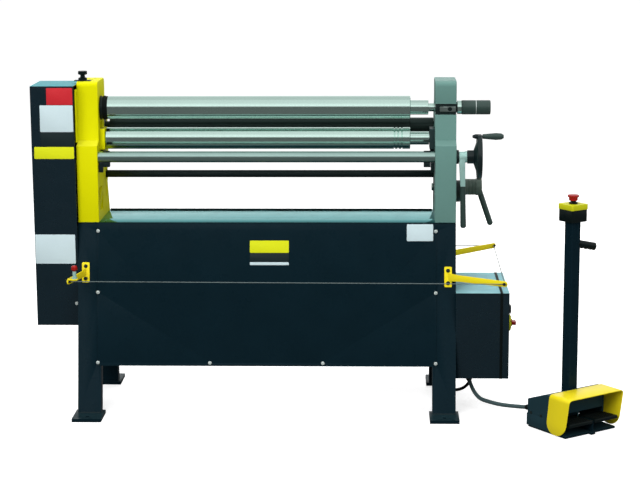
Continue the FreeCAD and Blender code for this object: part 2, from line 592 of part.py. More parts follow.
def casting_cuts(name, side):
    """The bores, slots and recesses that both castings have."""
    inner, outer = "inner_face - 1", "outer_face + 1"
    low, top = "pocket_low_z", "pocket_top_z"
    cuts = [
        pocket(name + "_pocket_a", side, [("casting_front_y + 20", low + " + 16"),
                                          ("casting_front_y + 20", top), ("casting_front_y + 98", top)]),
        pocket(name + "_pocket_b", side, [("casting_front_y + 34", low), ("casting_front_y + 104", low),
                                          ("casting_front_y + 104", low + " + 62")]),
        box(name + "_lower_slot", sides(side, inner, "inner_face + block_depth + 1"),
            ("pinch_y - block_slide_half_y - body_gap", "pinch_y + block_slide_half_y + body_gap"),
            ("lower_slot_low", "lower_slot_top")),
        box(name + "_rear_slot", sides(side, inner, "inner_face + rear_block_depth + 1"),
            ("rear_axis_y - rear_block_half_y - body_gap", "rear_axis_y + rear_block_half_y + body_gap"),
            ("rear_slot_low", "rear_slot_top")),
        box(name + "_rack_slot", sides(side, inner, "inner_face + pinion_start + pinion_width + cavity_gap"),
            ("rack_line_y - rack_back - 0.5", "rack_line_y + rack_module + 0.5"),
            ("rack_low - rear_travel - 1", "rear_slot_low + 1")),
        rod(name + "_pinion_room", "x", ("cross_axis_y", "cross_axis_z"),
            "pinion_pitch + rack_module + cavity_gap",
            *sides(side, inner, "inner_face + pinion_start + pinion_width + cavity_gap")),
        rod(name + "_cross_bore", "x", ("cross_axis_y", "cross_axis_z"), "cross_end_radius + running_fit",
            *sides(side, "inner_face", "outer_face - 7")),
    ]
    for k, (x, y) in enumerate(bolt_places(side)):
        cuts.append(rod("%s_tap_%d" % (name, k), "z", (x, y), "bolt_radius + body_gap", "stand_top_z - 1",
                        "stand_top_z + bolt_reach + 2"))
    return cuts


def castings():
    """The two side castings and the gear plate of the right one."""
    blank = casting_blank("left_frame", -1)
    cuts = casting_cuts("left_frame", -1)
    cuts += [
        rod("left_spindle_bore", "x", ("pinch_y", "upper_axis_z"), "spindle_radius + running_fit",
            minus("outer_face + 1"), minus("inner_face - 1")),
        rod("left_tube_bore", "x", ("lever_axis_y", "lever_axis_z"), "tube_radius + running_fit",
            minus("inner_face + 46"), minus("inner_face - 1")),
        box("left_journal_slot", (minus("outer_face + 1"), minus("inner_face")),
            ("pinch_y - lower_journal_radius - 2", "pinch_y + lower_journal_radius + 2"),
            ("lower_axis_z - lower_journal_radius - 2",
             "lower_axis_z + lower_journal_radius + lift_travel + 2")),
        rod("left_knob_bore", "z", ("knob_x", "knob_y"), "knob_stem_radius + body_gap",
            "casting_top_z - knob_stem_reach - 1", "casting_top_z + 1"),
    ]
    node(cut("left_frame", blank, *cuts))

    blank = casting_blank("right_frame", 1)
    cuts = casting_cuts("right_frame", 1)
    half = "slot_height / 2"
    gear_room = "rack_module * adjuster_gear_teeth / 2 + rack_module + cavity_gap"
    gear_end = "inner_face + adjuster_gear_start + adjuster_gear_width + cavity_gap"
    plate_y = ("adjuster_y - 50", "adjuster_y + 60")
    plate_z = ("adjuster_z - 50", "cross_axis_z + 22")
    cuts += [
        box("right_swing_slot", ("inner_face - 1", "outer_face + 1"), ("casting_front_y", "slot_back_y"),
            ("upper_axis_z - " + half, "upper_axis_z + " + half)),
        rod("right_tube_bore", "x", ("lever_axis_y", "lever_axis_z"), "tube_radius + running_fit",
            "inner_face - 1", "outer_face + 1"),
        rod("right_gear_room", "x", ("adjuster_y", "adjuster_z"), gear_room, "inner_face - 1", gear_end),
        rod("right_adjuster_bore", "x", ("adjuster_y", "adjuster_z"), "adjuster_shaft_radius + running_fit",
            "inner_face", "outer_face + 1"),
        box("right_plate_seat", ("inner_face - 1", "inner_face + cavity_plate"), plate_y, plate_z),
    ]
    node(cut("right_frame", blank, *cuts))

    plate = box("gear_plate_blank", ("inner_face", "inner_face + cavity_plate"),
                (plate_y[0] + " + body_gap", plate_y[1] + " - body_gap"),
                (plate_z[0] + " + body_gap", plate_z[1] + " - body_gap"))
    holes = [rod("gear_plate_hole_a", "x", ("adjuster_y", "adjuster_z"), "adjuster_shaft_radius + running_fit",
                 "inner_face - 1", "inner_face + cavity_plate + 1"),
             rod("gear_plate_hole_b", "x", ("cross_axis_y", "cross_axis_z"), "cross_shaft_radius + running_fit",
                 "inner_face - 1", "inner_face + cavity_plate + 1")]
    gear_plate = cut("gear_plate", plate, *holes)
    flange_at = ("adjuster_y", "adjuster_z - flange_drop")
    flange = cut("adjuster_flange", rod("flange_blank", "x", flange_at, "flange_radius", "outer_face",
                                        "outer_face + flange_length + 5"),
                 rod("flange_bore", "x", ("adjuster_y", "adjuster_z"), "adjuster_shaft_radius + body_gap",
                     "outer_face - 1", "outer_face + flange_length + 6"))
    node(group("adjuster_plates", gear_plate, flange))

    z = "casting_top_z + knob_plate_height"
    base = box("knob_plate_blank", ("knob_x - knob_plate_half", "knob_x + knob_plate_half"),
               ("knob_y - knob_plate_depth", "knob_y + knob_plate_depth"), ("casting_top_z", z))
    node(cut("knob_plate", base, rod("knob_plate_hole", "z", ("knob_x", "knob_y"),
                                     "knob_stem_radius + body_gap", "casting_top_z - 1", z + " + 1")))
    top = z + " + knob_height"
    node(turned("frame_knob", "z", ("knob_x", "knob_y"), [
        ("casting_top_z - knob_stem_reach", "0"), ("casting_top_z - knob_stem_reach", "knob_stem_radius"),
        (z, "knob_stem_radius"), (z, "knob_radius - 0.5"), (z + " + 7", "knob_radius - 0.5"),
        (z + " + 10", "knob_radius * 0.55"), (z + " + 17", "knob_radius * 0.5"),
        (z + " + 20", "knob_radius"), (top + " - 1", "knob_radius"), (top, "knob_radius - 1"), (top, "0")]))


# ---------------------------------------------------------------- cover and drive

def gear_cover():
    """The sheet cover on the left casting, open on the side that meets the casting, with its plates."""
    outside = box("cover_outside", (minus("cover_left"), minus("outer_face")),
                  ("cover_front_y", "cover_front_y + cover_depth"), ("cover_low_z", "cover_top_z"))
    inside = box("cover_inside", (minus("cover_left - cover_sheet"), minus("outer_face - 1")),
                 ("cover_front_y + cover_sheet", "cover_front_y + cover_depth - cover_sheet"),
                 ("cover_low_z + cover_sheet", "cover_top_z - cover_sheet"))
    hole = rod("cover_screw_hole", "y", (minus("outer_face + 9"), "cover_low_z + 78"), "2.8",
               "cover_front_y - 1", "cover_front_y + cover_sheet + 1")
    soft = rounded("cover_soft", outside, "cover_sheet", lambda edge: (
        near(edge.CenterOfMass.x, minus("cover_left")) or runs_along(edge, 0)))
    node(cut("gear_cover", soft, inside, hole))
    screw = [rod("cover_screw_head", "y", (minus("outer_face + 9"), "cover_low_z + 78"), "6",
                 "cover_front_y - 4", "cover_front_y"),
             rod("cover_screw_shank", "y", (minus("outer_face + 9"), "cover_low_z + 78"), "2.5",
                 "cover_front_y", "cover_front_y + 12")]
    screw = fuse("cover_screw", *screw)

    def label(name, left, right, low, top):
        return box(name, (minus("outer_face + " + left), minus("outer_face + " + right)),
                   ("cover_front_y - plate_sheet", "cover_front_y"),
                   ("cover_top_z - " + low, "cover_top_z - " + top))

    red = [label("red_plate", "92", "3", "64", "6")]
    white = [label("cover_white_plate", "116", "3", "156", "65"),
             label("cover_low_plate", "146", "8", "612", "510"),
             slab("stand_white_plate", (minus("57"), "77"), ("stand_top_z - 120", "stand_top_z - 85"),
                  ("panel_sheet", "panel_sheet + plate_sheet")),
             slab("stand_right_plate", ("panel_half - 101", "panel_half - 11"),
                  ("stand_top_z - 63", "stand_top_z - 5"), ("panel_sheet", "panel_sheet + plate_sheet"))]
    yellow = [label("cover_yellow_plate", "139", "3", "248", "207"),
              slab("stand_yellow_plate", (minus("57"), "77"), ("stand_top_z - 85", "stand_top_z - 61"),
                   ("panel_sheet", "panel_sheet + plate_sheet"))]
    black = [label("cover_black_plate", "116", "3", "206", "157"),
             slab("stand_black_plate", (minus("57"), "77"), ("stand_top_z - 144", "stand_top_z - 120"),
                  ("panel_sheet", "panel_sheet + plate_sheet"))]
    node(group("blank_plates", *red, *white, *yellow, *black, screw))


def drive():
    """Gear motor, chain and drive spindle with its cup and gear. Gives the gear of the lower roll."""
    box_x = ("gearbox_gap - inner_face", "gearbox_gap - inner_face + gearbox_size")
    half = "gearbox_size / 2"
    gearbox = box("gearbox", box_x, ("motor_axis_y - " + half, "motor_axis_y + " + half),
                  ("motor_base_z", "motor_axis_z + " + half))
    motor = rod("motor_body", "x", ("motor_axis_y", "motor_axis_z"), "motor_radius", box_x[1],
                box_x[1] + " + motor_length")
    shaft = rod("motor_shaft", "x", ("motor_axis_y", "motor_axis_z"), "motor_shaft_radius + running_fit",
                box_x[0] + " - 1", box_x[0] + " + gearbox_size - 20")
    node(cut("gear_motor", fuse("motor_whole", gearbox, motor), shaft))

    wide = "sprocket_width / 2"
    sprocket = rod("motor_wheel", "x", ("motor_axis_y", "motor_axis_z"), "motor_sprocket_radius - 3",
                   minus("sprocket_x + " + wide), minus("sprocket_x - " + wide))
    stub = rod("motor_stub", "x", ("motor_axis_y", "motor_axis_z"), "motor_shaft_radius",
               minus("sprocket_x + 12"), box_x[0] + " + gearbox_size - 22")
    node(fuse("motor_sprocket", sprocket, stub))

    end = minus("sprocket_x + 10")
    spindle = rod("spindle_bar", "x", ("pinch_y", "upper_axis_z"), "spindle_radius", end,
                  minus("inner_face - body_gap"))
    wheel = rod("spindle_wheel", "x", ("pinch_y", "upper_axis_z"), "drive_sprocket_radius - 3",
                minus("sprocket_x + " + wide), minus("sprocket_x - " + wide))
    depth = "ball_radius + socket_clearance"
    socket = rod("spindle_socket", "x", ("pinch_y", "upper_axis_z"), "ball_radius + socket_clearance",
                 "swing_x + 1.5 - (%s)" % depth, "swing_x + cup_length + 2")
    slot = box("spindle_pin_slot", ("swing_x + 1.5 - cross_pin_radius - 4.5", "swing_x + cup_length + 2"),
               ("pinch_y - cross_pin_radius - pin_slot", "pinch_y + cross_pin_radius + pin_slot"),
               ("upper_axis_z - cross_pin_half - 1.5", "upper_axis_z + cross_pin_half + 1.5"))
    spindle = cut("spindle", fuse("spindle_whole", spindle, wheel), socket, slot)
    cup = turned("cup_blank", "x", ("pinch_y", "upper_axis_z"), [
        ("swing_x + body_gap", "0"), ("swing_x + body_gap", "cup_radius - 1"), ("swing_x + body_gap + 1",
         "cup_radius"), ("swing_x + cup_length - 1", "cup_radius"), ("swing_x + cup_length", "cup_radius - 1"),
        ("swing_x + cup_length", "0")])
    cup = cut("drive_cup", cup, socket, slot)
    chain = band((size("pinch_y"), size("upper_axis_z")), size("drive_sprocket_radius - 3 + body_gap"),
                 (size("motor_axis_y"), size("motor_axis_z")), size("motor_sprocket_radius - 3 + body_gap"),
                 -size("sprocket_x + chain_width / 2"), -size("sprocket_x - chain_width / 2"))
    rim = band((size("pinch_y"), size("upper_axis_z")),
               size("drive_sprocket_radius - 3 + body_gap + chain_height"),
               (size("motor_axis_y"), size("motor_axis_z")),
               size("motor_sprocket_radius - 3 + body_gap + chain_height"),
               -size("sprocket_x + chain_width / 2"), -size("sprocket_x - chain_width / 2"))
    node(shaped("drive_chain", rim.cut(chain)))

    low, high = minus("upper_gear_x + gear_width / 2"), minus("upper_gear_x - gear_width / 2")
    upper = gear("upper_gear", low, high, ("pinch_y", "upper_axis_z"), "gear_module", "upper_gear_teeth",
                 -math.pi / 2, "spindle_radius + running_fit")
    node(group("drive_spindle", spindle, cup, upper))
    gap_up = math.pi / 2 + math.pi / size("lower_gear_teeth")
    return gear("lower_gear", low, high, ("pinch_y", "lower_axis_z"), "gear_module", "lower_gear_teeth",
                gap_up, "lower_journal_radius + running_fit")


# ---------------------------------------------------------------- rolls

def rolls(lower_gear):
    """The three rolls with their necks, journals, grooves, ball and cross pin, and the lower roll's gear."""
    at = ("pinch_y", "upper_axis_z")
    r, e = "upper_roll_radius", "edge_break"
    body = turned("upper_roll_body", "x", at, [
        ("roll_left - ball_radius * 0.7", "0"), ("roll_left - ball_radius * 0.7", "ball_neck_radius"),
        ("roll_left", "ball_neck_radius"), ("roll_left", r + " - " + e), ("roll_left + " + e, r),
        ("roll_right - " + e, r), ("roll_right", r + " - " + e), ("roll_right", "neck_radius"),
        ("roll_right + neck_length", "neck_radius"), ("roll_right + neck_length", "end_journal_radius"),
        ("inner_face + 63.5", "end_journal_radius"), ("inner_face + 63.5", "0")])
    ball = doc.addObject("Part::Sphere", "upper_roll_ball")
    ball.setExpression("Radius", expr("ball_radius"))
    placed(ball, "swing_x + 1.5", *at)
    pin = rod("upper_roll_pin", "z", ("swing_x + 1.5", "pinch_y"), "cross_pin_radius",
              "upper_axis_z - cross_pin_half", "upper_axis_z + cross_pin_half")
    node(fuse("upper_roll", body, ball, pin))

    r = "lower_roll_radius"
    at = ("pinch_y", "lower_axis_z")
    profile = [
        (minus("upper_gear_x + gear_width / 2 + 8"), "0"),
        (minus("upper_gear_x + gear_width / 2 + 8"), "lower_journal_radius"),
        ("roll_left", "lower_journal_radius"), ("roll_left", r + " - " + e), ("roll_left + " + e, r)]
    for back in ("54", "40", "28"):
        near_side, far_side = "roll_right - " + back, "roll_right - " + back + " + groove_width"
        profile += [(near_side, r), (near_side, r + " - groove_depth"), (far_side, r + " - groove_depth"),
                    (far_side, r)]
    end = "inner_face - body_gap - block_flange - 2"
    profile += [("roll_right - " + e, r), ("roll_right", r + " - " + e), ("roll_right", "lower_neck_radius"),
                (end, "lower_neck_radius"), (end, "lower_journal_radius"),
                ("inner_face + block_depth - 1", "lower_journal_radius"),
                ("inner_face + block_depth - 1", "0")]
    node(group("lower_roll", turned("lower_roll_bar", "x", at, profile), lower_gear))

    r = "rear_roll_radius"
    end = "inner_face - 2"
    node(turned("rear_roll", "x", ("rear_axis_y", "rear_axis_z"), [
        (minus("inner_face + rear_block_depth - 4"), "0"),
        (minus("inner_face + rear_block_depth - 4"), "rear_journal_radius"),
        ("roll_left", "rear_journal_radius"), ("roll_left", r + " - " + e), ("roll_left + " + e, r),
        ("roll_right - " + e, r), ("roll_right", r + " - " + e), ("roll_right", "rear_neck_radius"),
        (end, "rear_neck_radius"), (end, "rear_journal_radius"),
        ("inner_face + rear_block_depth - 4", "rear_journal_radius"),
        ("inner_face + rear_block_depth - 4", "0")]))


def swing_block():
    """The block that carries the right end of the upper roll, with its collar, grip and lock screw."""
    at = ("pinch_y", "upper_axis_z")
    half = "slot_height / 2 - body_gap"
    block = box("swing_blank", ("inner_face + block_side_gap", "outer_face - 1"),
                ("block_front_y", "block_back_y"), ("upper_axis_z - (%s)" % half, "upper_axis_z + " + half))
    boss = rod("swing_boss", "x", at, "18", "outer_face - 2", "collar_x")
    stub = rod("swing_stub", "x", at, "end_journal_radius", "outer_face - 2", "grip_x + grip_length - 8")
    bore = rod("swing_bore", "x", at, "end_journal_radius + running_fit", "inner_face", "inner_face + 65")
    screw_at = ("lock_screw_x", "upper_axis_z")
    hole = rod("swing_screw_bore", "y", screw_at, "lock_screw_radius + running_fit", "block_front_y - 1",
               "block_front_y + lock_screw_reach")
    swing = cut("swing_carrier", fuse("swing_whole", block, boss, stub), bore, hole)
    side = "collar_square / 2"
    collar = box("collar_blank", ("collar_x", "grip_x"), ("pinch_y - " + side, "pinch_y + " + side),
                 ("upper_axis_z - " + side, "upper_axis_z + " + side))
    soft = rounded("collar_soft", collar, "crown_radius * 0.9", lambda edge: runs_along(edge, 0))
    collar = cut("release_collar", soft, rod("collar_bore", "x", at, "end_journal_radius + running_fit",
                                             "collar_x - 1", "grip_x + 1"))
    node(group("swing_block", swing, collar))
    seam = "grip_x + grip_length / 2"
    end = "grip_x + grip_length"
    node(turned("release_grip", "x", at, [
        ("grip_x", "end_journal_radius + running_fit"), ("grip_x", "grip_radius - 1"),
        ("grip_x + 2", "grip_radius"), (seam + " - grip_seam / 2", "grip_radius"),
        (seam + " - grip_seam / 2", "grip_radius - 1"), (seam + " + grip_seam / 2", "grip_radius - 1"),
        (seam + " + grip_seam / 2", "grip_radius"), (end + " - 4", "grip_radius"),
        (end, "grip_radius - 4"), (end, "0"), (end + " - 7", "0"),
        (end + " - 7", "end_journal_radius + running_fit")]))
    screw = rod("lock_screw_bar", "y", screw_at, "lock_screw_radius", "block_front_y - 1",
                "block_front_y + lock_screw_reach - 1")
    socket = rod("lock_screw_socket", "y", screw_at, "lock_screw_radius / 2", "block_front_y - 2",
                 "block_front_y + 5")
    node(cut("lock_screw", screw, socket))


# ---------------------------------------------------------------- lower and rear carriages

def lower_carriage():
    """The two sliding blocks under the lower roll."""
    blocks = []
    for side, name in ((-1, "left_lower_block"), (1, "right_lower_block")):
        flange = box(name + "_flange",
                     sides(side, "inner_face - body_gap - block_flange", "inner_face - body_gap"),
                     ("pinch_y - block_flange_half", "pinch_y + block_flange_half"),
                     ("lower_axis_z - block_flange_half", "lower_axis_z + block_flange_half"))
        slide = box(name + "_slide", sides(side, "inner_face - body_gap - 1", "inner_face + block_depth"),
                    ("pinch_y - block_slide_half_y", "pinch_y + block_slide_half_y"),
                    ("lower_axis_z - block_slide_half_z", "lower_axis_z + block_slide_half_z"))
        bore = rod(name + "_bore", "x", ("pinch_y", "lower_axis_z"), "lower_journal_radius + running_fit",
                   *sides(side, "inner_face - 40", "inner_face + block_depth + 1"))
        soft = rounded(name + "_soft", flange, "edge_break * 2", lambda edge: runs_along(edge, 0))
        blocks.append(cut(name, fuse(name + "_whole", soft, slide), bore))
    node(group("lower_blocks", *blocks))


def pinch_lever():
    """The torque tube with its lifting arms, and the lever, grip and handwheel at its right end."""
    at = ("lever_axis_y", "lever_axis_z")
    tube = rod("lever_tube", "x", at, "tube_radius", minus("inner_face + 44"), "lever_x")
    arms = []
    for side, name in ((-1, "left_arm"), (1, "right_arm")):
        x = sides(side, "inner_face - 1.5 - arm_width", "inner_face - 1.5")
        hub = rod(name + "_hub", "x", at, "arm_hub_radius", *x)
        bar = prism(name + "_bar", "YZ_Plane", [
            ("lever_axis_y", "lever_axis_z - arm_thickness"), ("pinch_y", "nose_z - nose_radius"),
            ("pinch_y", "nose_z + nose_radius"), ("lever_axis_y", "lever_axis_z + arm_thickness")], *x)
        nose = rod(name + "_nose", "x", ("pinch_y", "nose_z"), "nose_radius", *x)
        lug_x = sides(side, "inner_face - 17 - lug_width", "inner_face - 1.5 - arm_width + 1")
        lug = box(name + "_lug", lug_x, ("lever_axis_y - lug_half_y", "lever_axis_y + lug_half_y"),
                  ("lever_axis_z - lug_drop", "lever_axis_z"))
        ring = rod(name + "_ring", "x", at, "arm_hub_radius - 2", *lug_x)
        bore = rod(name + "_bore", "x", at, "tube_radius + running_fit",
                   *sides(side, "inner_face - 60", "inner_face"))
        arms.append(cut(name, fuse(name + "_whole", hub, bar, nose, lug, ring), bore))
    washer = cut("lever_washer", rod("washer_blank", "x", at, "washer_radius", "outer_face + body_gap",
                                     "lever_x"),
                 rod("washer_bore", "x", at, "tube_radius + running_fit", "outer_face", "lever_x + 1"))
    node(group("lift_shaft", tube, washer, *arms))

    y = ("lever_axis_y - lever_half_y", "lever_axis_y + lever_half_y")
    plate = box("lever_plate", ("lever_x", "lever_x + lever_width"), y,
                ("lever_axis_z - lever_drop", "lever_axis_z"))
    eye = rod("lever_eye", "x", at, "lever_half_y", "lever_x", "lever_x + lever_width")
    boss = rod("lever_boss", "x", at, "lever_boss_radius", "lever_x + lever_width - 1",
               "lever_x + lever_width + lever_boss_length")
    pin = rod("lever_pin", "x", at, "8", "lever_x + lever_width", "wheel_hub_end + 4")
    node(fuse("side_lever", plate, eye, boss, pin))
    node(turned("lever_grip", "z", ("lever_grip_x", "lever_axis_y"), [
        ("lever_grip_bottom_z", "0"), ("lever_grip_bottom_z", "lever_grip_radius - 3"),
        ("lever_grip_bottom_z + 3", "lever_grip_radius"),
        ("lever_axis_z - lever_drop - 2", "lever_grip_radius"),
        ("lever_axis_z - lever_drop", "lever_grip_radius - 2"), ("lever_axis_z - lever_drop", "0")]))

    inner = "wheel_radius - wheel_rim"
    wheel = turned("wheel_disc", "x", at, [
        ("hub_start_x", "8 + running_fit"), ("hub_start_x", "hub_radius"), ("wheel_hub_end", "hub_radius"),
        ("wheel_face_x - wheel_rim", inner), ("wheel_face_x - wheel_rim - 3", "wheel_radius - 3"),
        ("wheel_face_x - wheel_rim", "wheel_radius"), ("wheel_face_x - 3", "wheel_radius"),
        ("wheel_face_x", "wheel_radius - 3"), ("wheel_face_x", inner),
        ("wheel_face_x - 7", inner), ("wheel_hub_end + 6", "hub_radius - 4"),
        ("wheel_hub_end + 6", "8 + running_fit")])
    crank = ("lever_axis_y", "lever_axis_z + crank_radius")
    pin = rod("crank_pin", "x", crank, "crank_pin_radius", "wheel_face_x - wheel_rim", "crank_end_x - 6")
    nut = turned("crank_nut", "x", crank, [
        ("wheel_face_x - 32", "0"), ("wheel_face_x - 32", "4"), ("wheel_face_x - 22", "8"),
        ("wheel_face_x - 12", "8"), ("wheel_face_x - 12", "0")])
    node(fuse("handwheel", wheel, pin, nut))
    start = "wheel_face_x + body_gap + 2"
    node(turned("crank_grip", "x", crank, [
        (start, "crank_pin_radius + running_fit"), (start, "8"), ("crank_end_x - 26", "12"),
        ("crank_end_x - 8", "10.5"), ("crank_end_x", "6"), ("crank_end_x", "0"), ("crank_end_x - 5", "0"),
        ("crank_end_x - 5", "crank_pin_radius + running_fit")]))


def rack(name, side):
    """The toothed bar under a rear block, its teeth towards the cross shaft, with a gap at the pinion."""
    module, line = size("rack_module"), size("rack_line_y")
    pitch = math.pi * module
    back, top = line - size("rack_back"), size("rear_axis_z - rear_block_half_z + 1")
    low, gap = size("rack_low"), size("cross_axis_z")
    first = math.ceil((low - gap) / pitch + 0.5)
    count = int(2 * size("rear_travel + rack_extra") / pitch) - 1
    half = pitch / 4 - size("tooth_thinning") / 2
    lean = math.tan(math.radians(20))
    points = [(back, low), (line - 1.25 * module, low)]
    for tooth in range(count):
        middle = gap + (first + tooth + 0.5) * pitch
        for out, wide in ((-1.25, half + 1.25 * module * lean), (1, half - module * lean)):
            points.append((line + out * module, middle - wide))
        for out, wide in ((1, half - module * lean), (-1.25, half + 1.25 * module * lean)):
            points.append((line + out * module, middle + wide))
    points += [(line - 1.25 * module, top), (back, top)]
    x = [size(text) for text in sides(side, "inner_face + pinion_start",
                                      "inner_face + pinion_start + pinion_width")]
    corners = [Vector(x[0], y, z) for y, z in points]
    face = Part.Face(Part.makePolygon(corners + corners[:1]))
    return shaped(name, face.extrude(Vector(x[1] - x[0], 0, 0)))


def rear_carriage():
    """The blocks that carry the rear roll, each with a rack, and the cross shaft that lifts both."""
    at = ("rear_axis_y", "rear_axis_z")
    blocks = []
    for side, name in ((-1, "left_rear_block"), (1, "right_rear_block")):
        block = box(name + "_body", sides(side, "inner_face + body_gap", "inner_face + rear_block_depth"),
                    ("rear_axis_y - rear_block_half_y", "rear_axis_y + rear_block_half_y"),
                    ("rear_axis_z - rear_block_half_z", "rear_axis_z + rear_block_half_z"))
        bore = rod(name + "_bore", "x", at, "rear_journal_radius + running_fit",
                   *sides(side, "inner_face - 1", "inner_face + rear_block_depth + 1"))
        blocks.append(cut(name, fuse(name + "_whole", block, rack(name + "_rack", side)), bore))
    node(group("rear_blocks", *blocks))

    at = ("cross_axis_y", "cross_axis_z")
    thin = "inner_face + 5"
    shaft = fuse("cross_shaft_bar", rod("cross_bar", "x", at, "cross_shaft_radius", minus(thin), thin),
                 rod("cross_ends", "x", at, "cross_end_radius", minus("outer_face - 8"), "outer_face - 8"))
    bore = "cross_end_radius + running_fit"
    left = gear("left_pinion", minus("inner_face + pinion_start + pinion_width"),
                minus("inner_face + pinion_start"), at, "rack_module", "pinion_teeth", math.pi, bore)
    right = gear("right_pinion", "inner_face + adjuster_gear_start",
                 "inner_face + pinion_start + pinion_width", at, "rack_module", "pinion_teeth", math.pi, bore)
    node(group("cross_shaft", shaft, left, right))

    at = ("adjuster_y", "adjuster_z")
    line = math.atan2(size("cross_axis_z - (%s)" % "adjuster_z"), size("cross_axis_y - adjuster_y"))
    step = 2 * math.pi / size("pinion_teeth")
    facing = line + math.pi
    offset = round((facing - math.pi) / step) * step + math.pi - facing
    first = line - offset * size("pinion_teeth / adjuster_gear_teeth") + math.pi / size("adjuster_gear_teeth")
    wheel = gear("adjuster_gear", "inner_face + adjuster_gear_start",
                 "inner_face + adjuster_gear_start + adjuster_gear_width", at, "rack_module",
                 "adjuster_gear_teeth", first, "adjuster_shaft_radius + running_fit")
    hub_end = "adjuster_hub_x + adjuster_hub_length"
    shaft = rod("adjuster_bar_shaft", "x", at, "adjuster_shaft_radius", "inner_face - nut_height",
                "adjuster_hub_x + 1")
    nut = rod("adjuster_nut", "x", at, "nut_radius", "inner_face - body_gap - nut_height",
              "inner_face - body_gap")
    node(group("adjuster_shaft", fuse("adjuster_shaft_bar", shaft, nut), wheel))
    hub = turned("adjuster_hub", "x", at, [
        ("adjuster_hub_x + 1", "0"), ("adjuster_hub_x + 1", "adjuster_hub_radius - 2"),
        ("adjuster_hub_x + 3", "adjuster_hub_radius"), ("adjuster_hub_x + 36", "adjuster_hub_radius"),
        ("adjuster_hub_x + 38", "adjuster_hub_radius + 1.5"), (hub_end + " - 2", "adjuster_hub_radius + 1.5"),
        (hub_end, "adjuster_hub_radius"), (hub_end, "0")])
    bar = doc.addObject("Part::Cylinder", "adjuster_bar_blank")
    bar.setExpression("Radius", expr("adjuster_bar_radius"))
    bar.setExpression("Height", expr("sqrt(adjuster_bar_lean^2 + adjuster_bar_drop^2)"))
    lean = math.degrees(math.atan2(size("adjuster_bar_lean"), size("adjuster_bar_drop")))
    bar.Placement = Placement(Vector(), Rotation(Vector(0, 1, 0), 180 - lean))
    placed(bar, hub_end + " - 9", *at)
    hub_room = rod("adjuster_bar_room", "x", at, "adjuster_hub_radius + 1.5", "adjuster_hub_x - 5",
                   hub_end + " + 60")
    node(group("adjuster_handle", hub, cut("adjuster_bar", bar, hub_room)))


# ---------------------------------------------------------------- cabinet

def gland(name, at, outward, mouth, radius, length):
    """A cable gland: a round body out of a wall, and a nozzle that points where the cable goes."""
    point, out, away = Vector(*at), Vector(*outward).normalize(), Vector(*mouth).normalize()
    joint = point + out * radius
    bends = out.getAngle(away) > 0.01
    body = Part.makeCylinder(radius, radius * (1.8 if bends else 1), point, out)
    nozzle = Part.makeCylinder(radius * 0.75, length, joint, away)
    return shaped(name, body.fuse(nozzle).removeSplitter()), joint + away * length


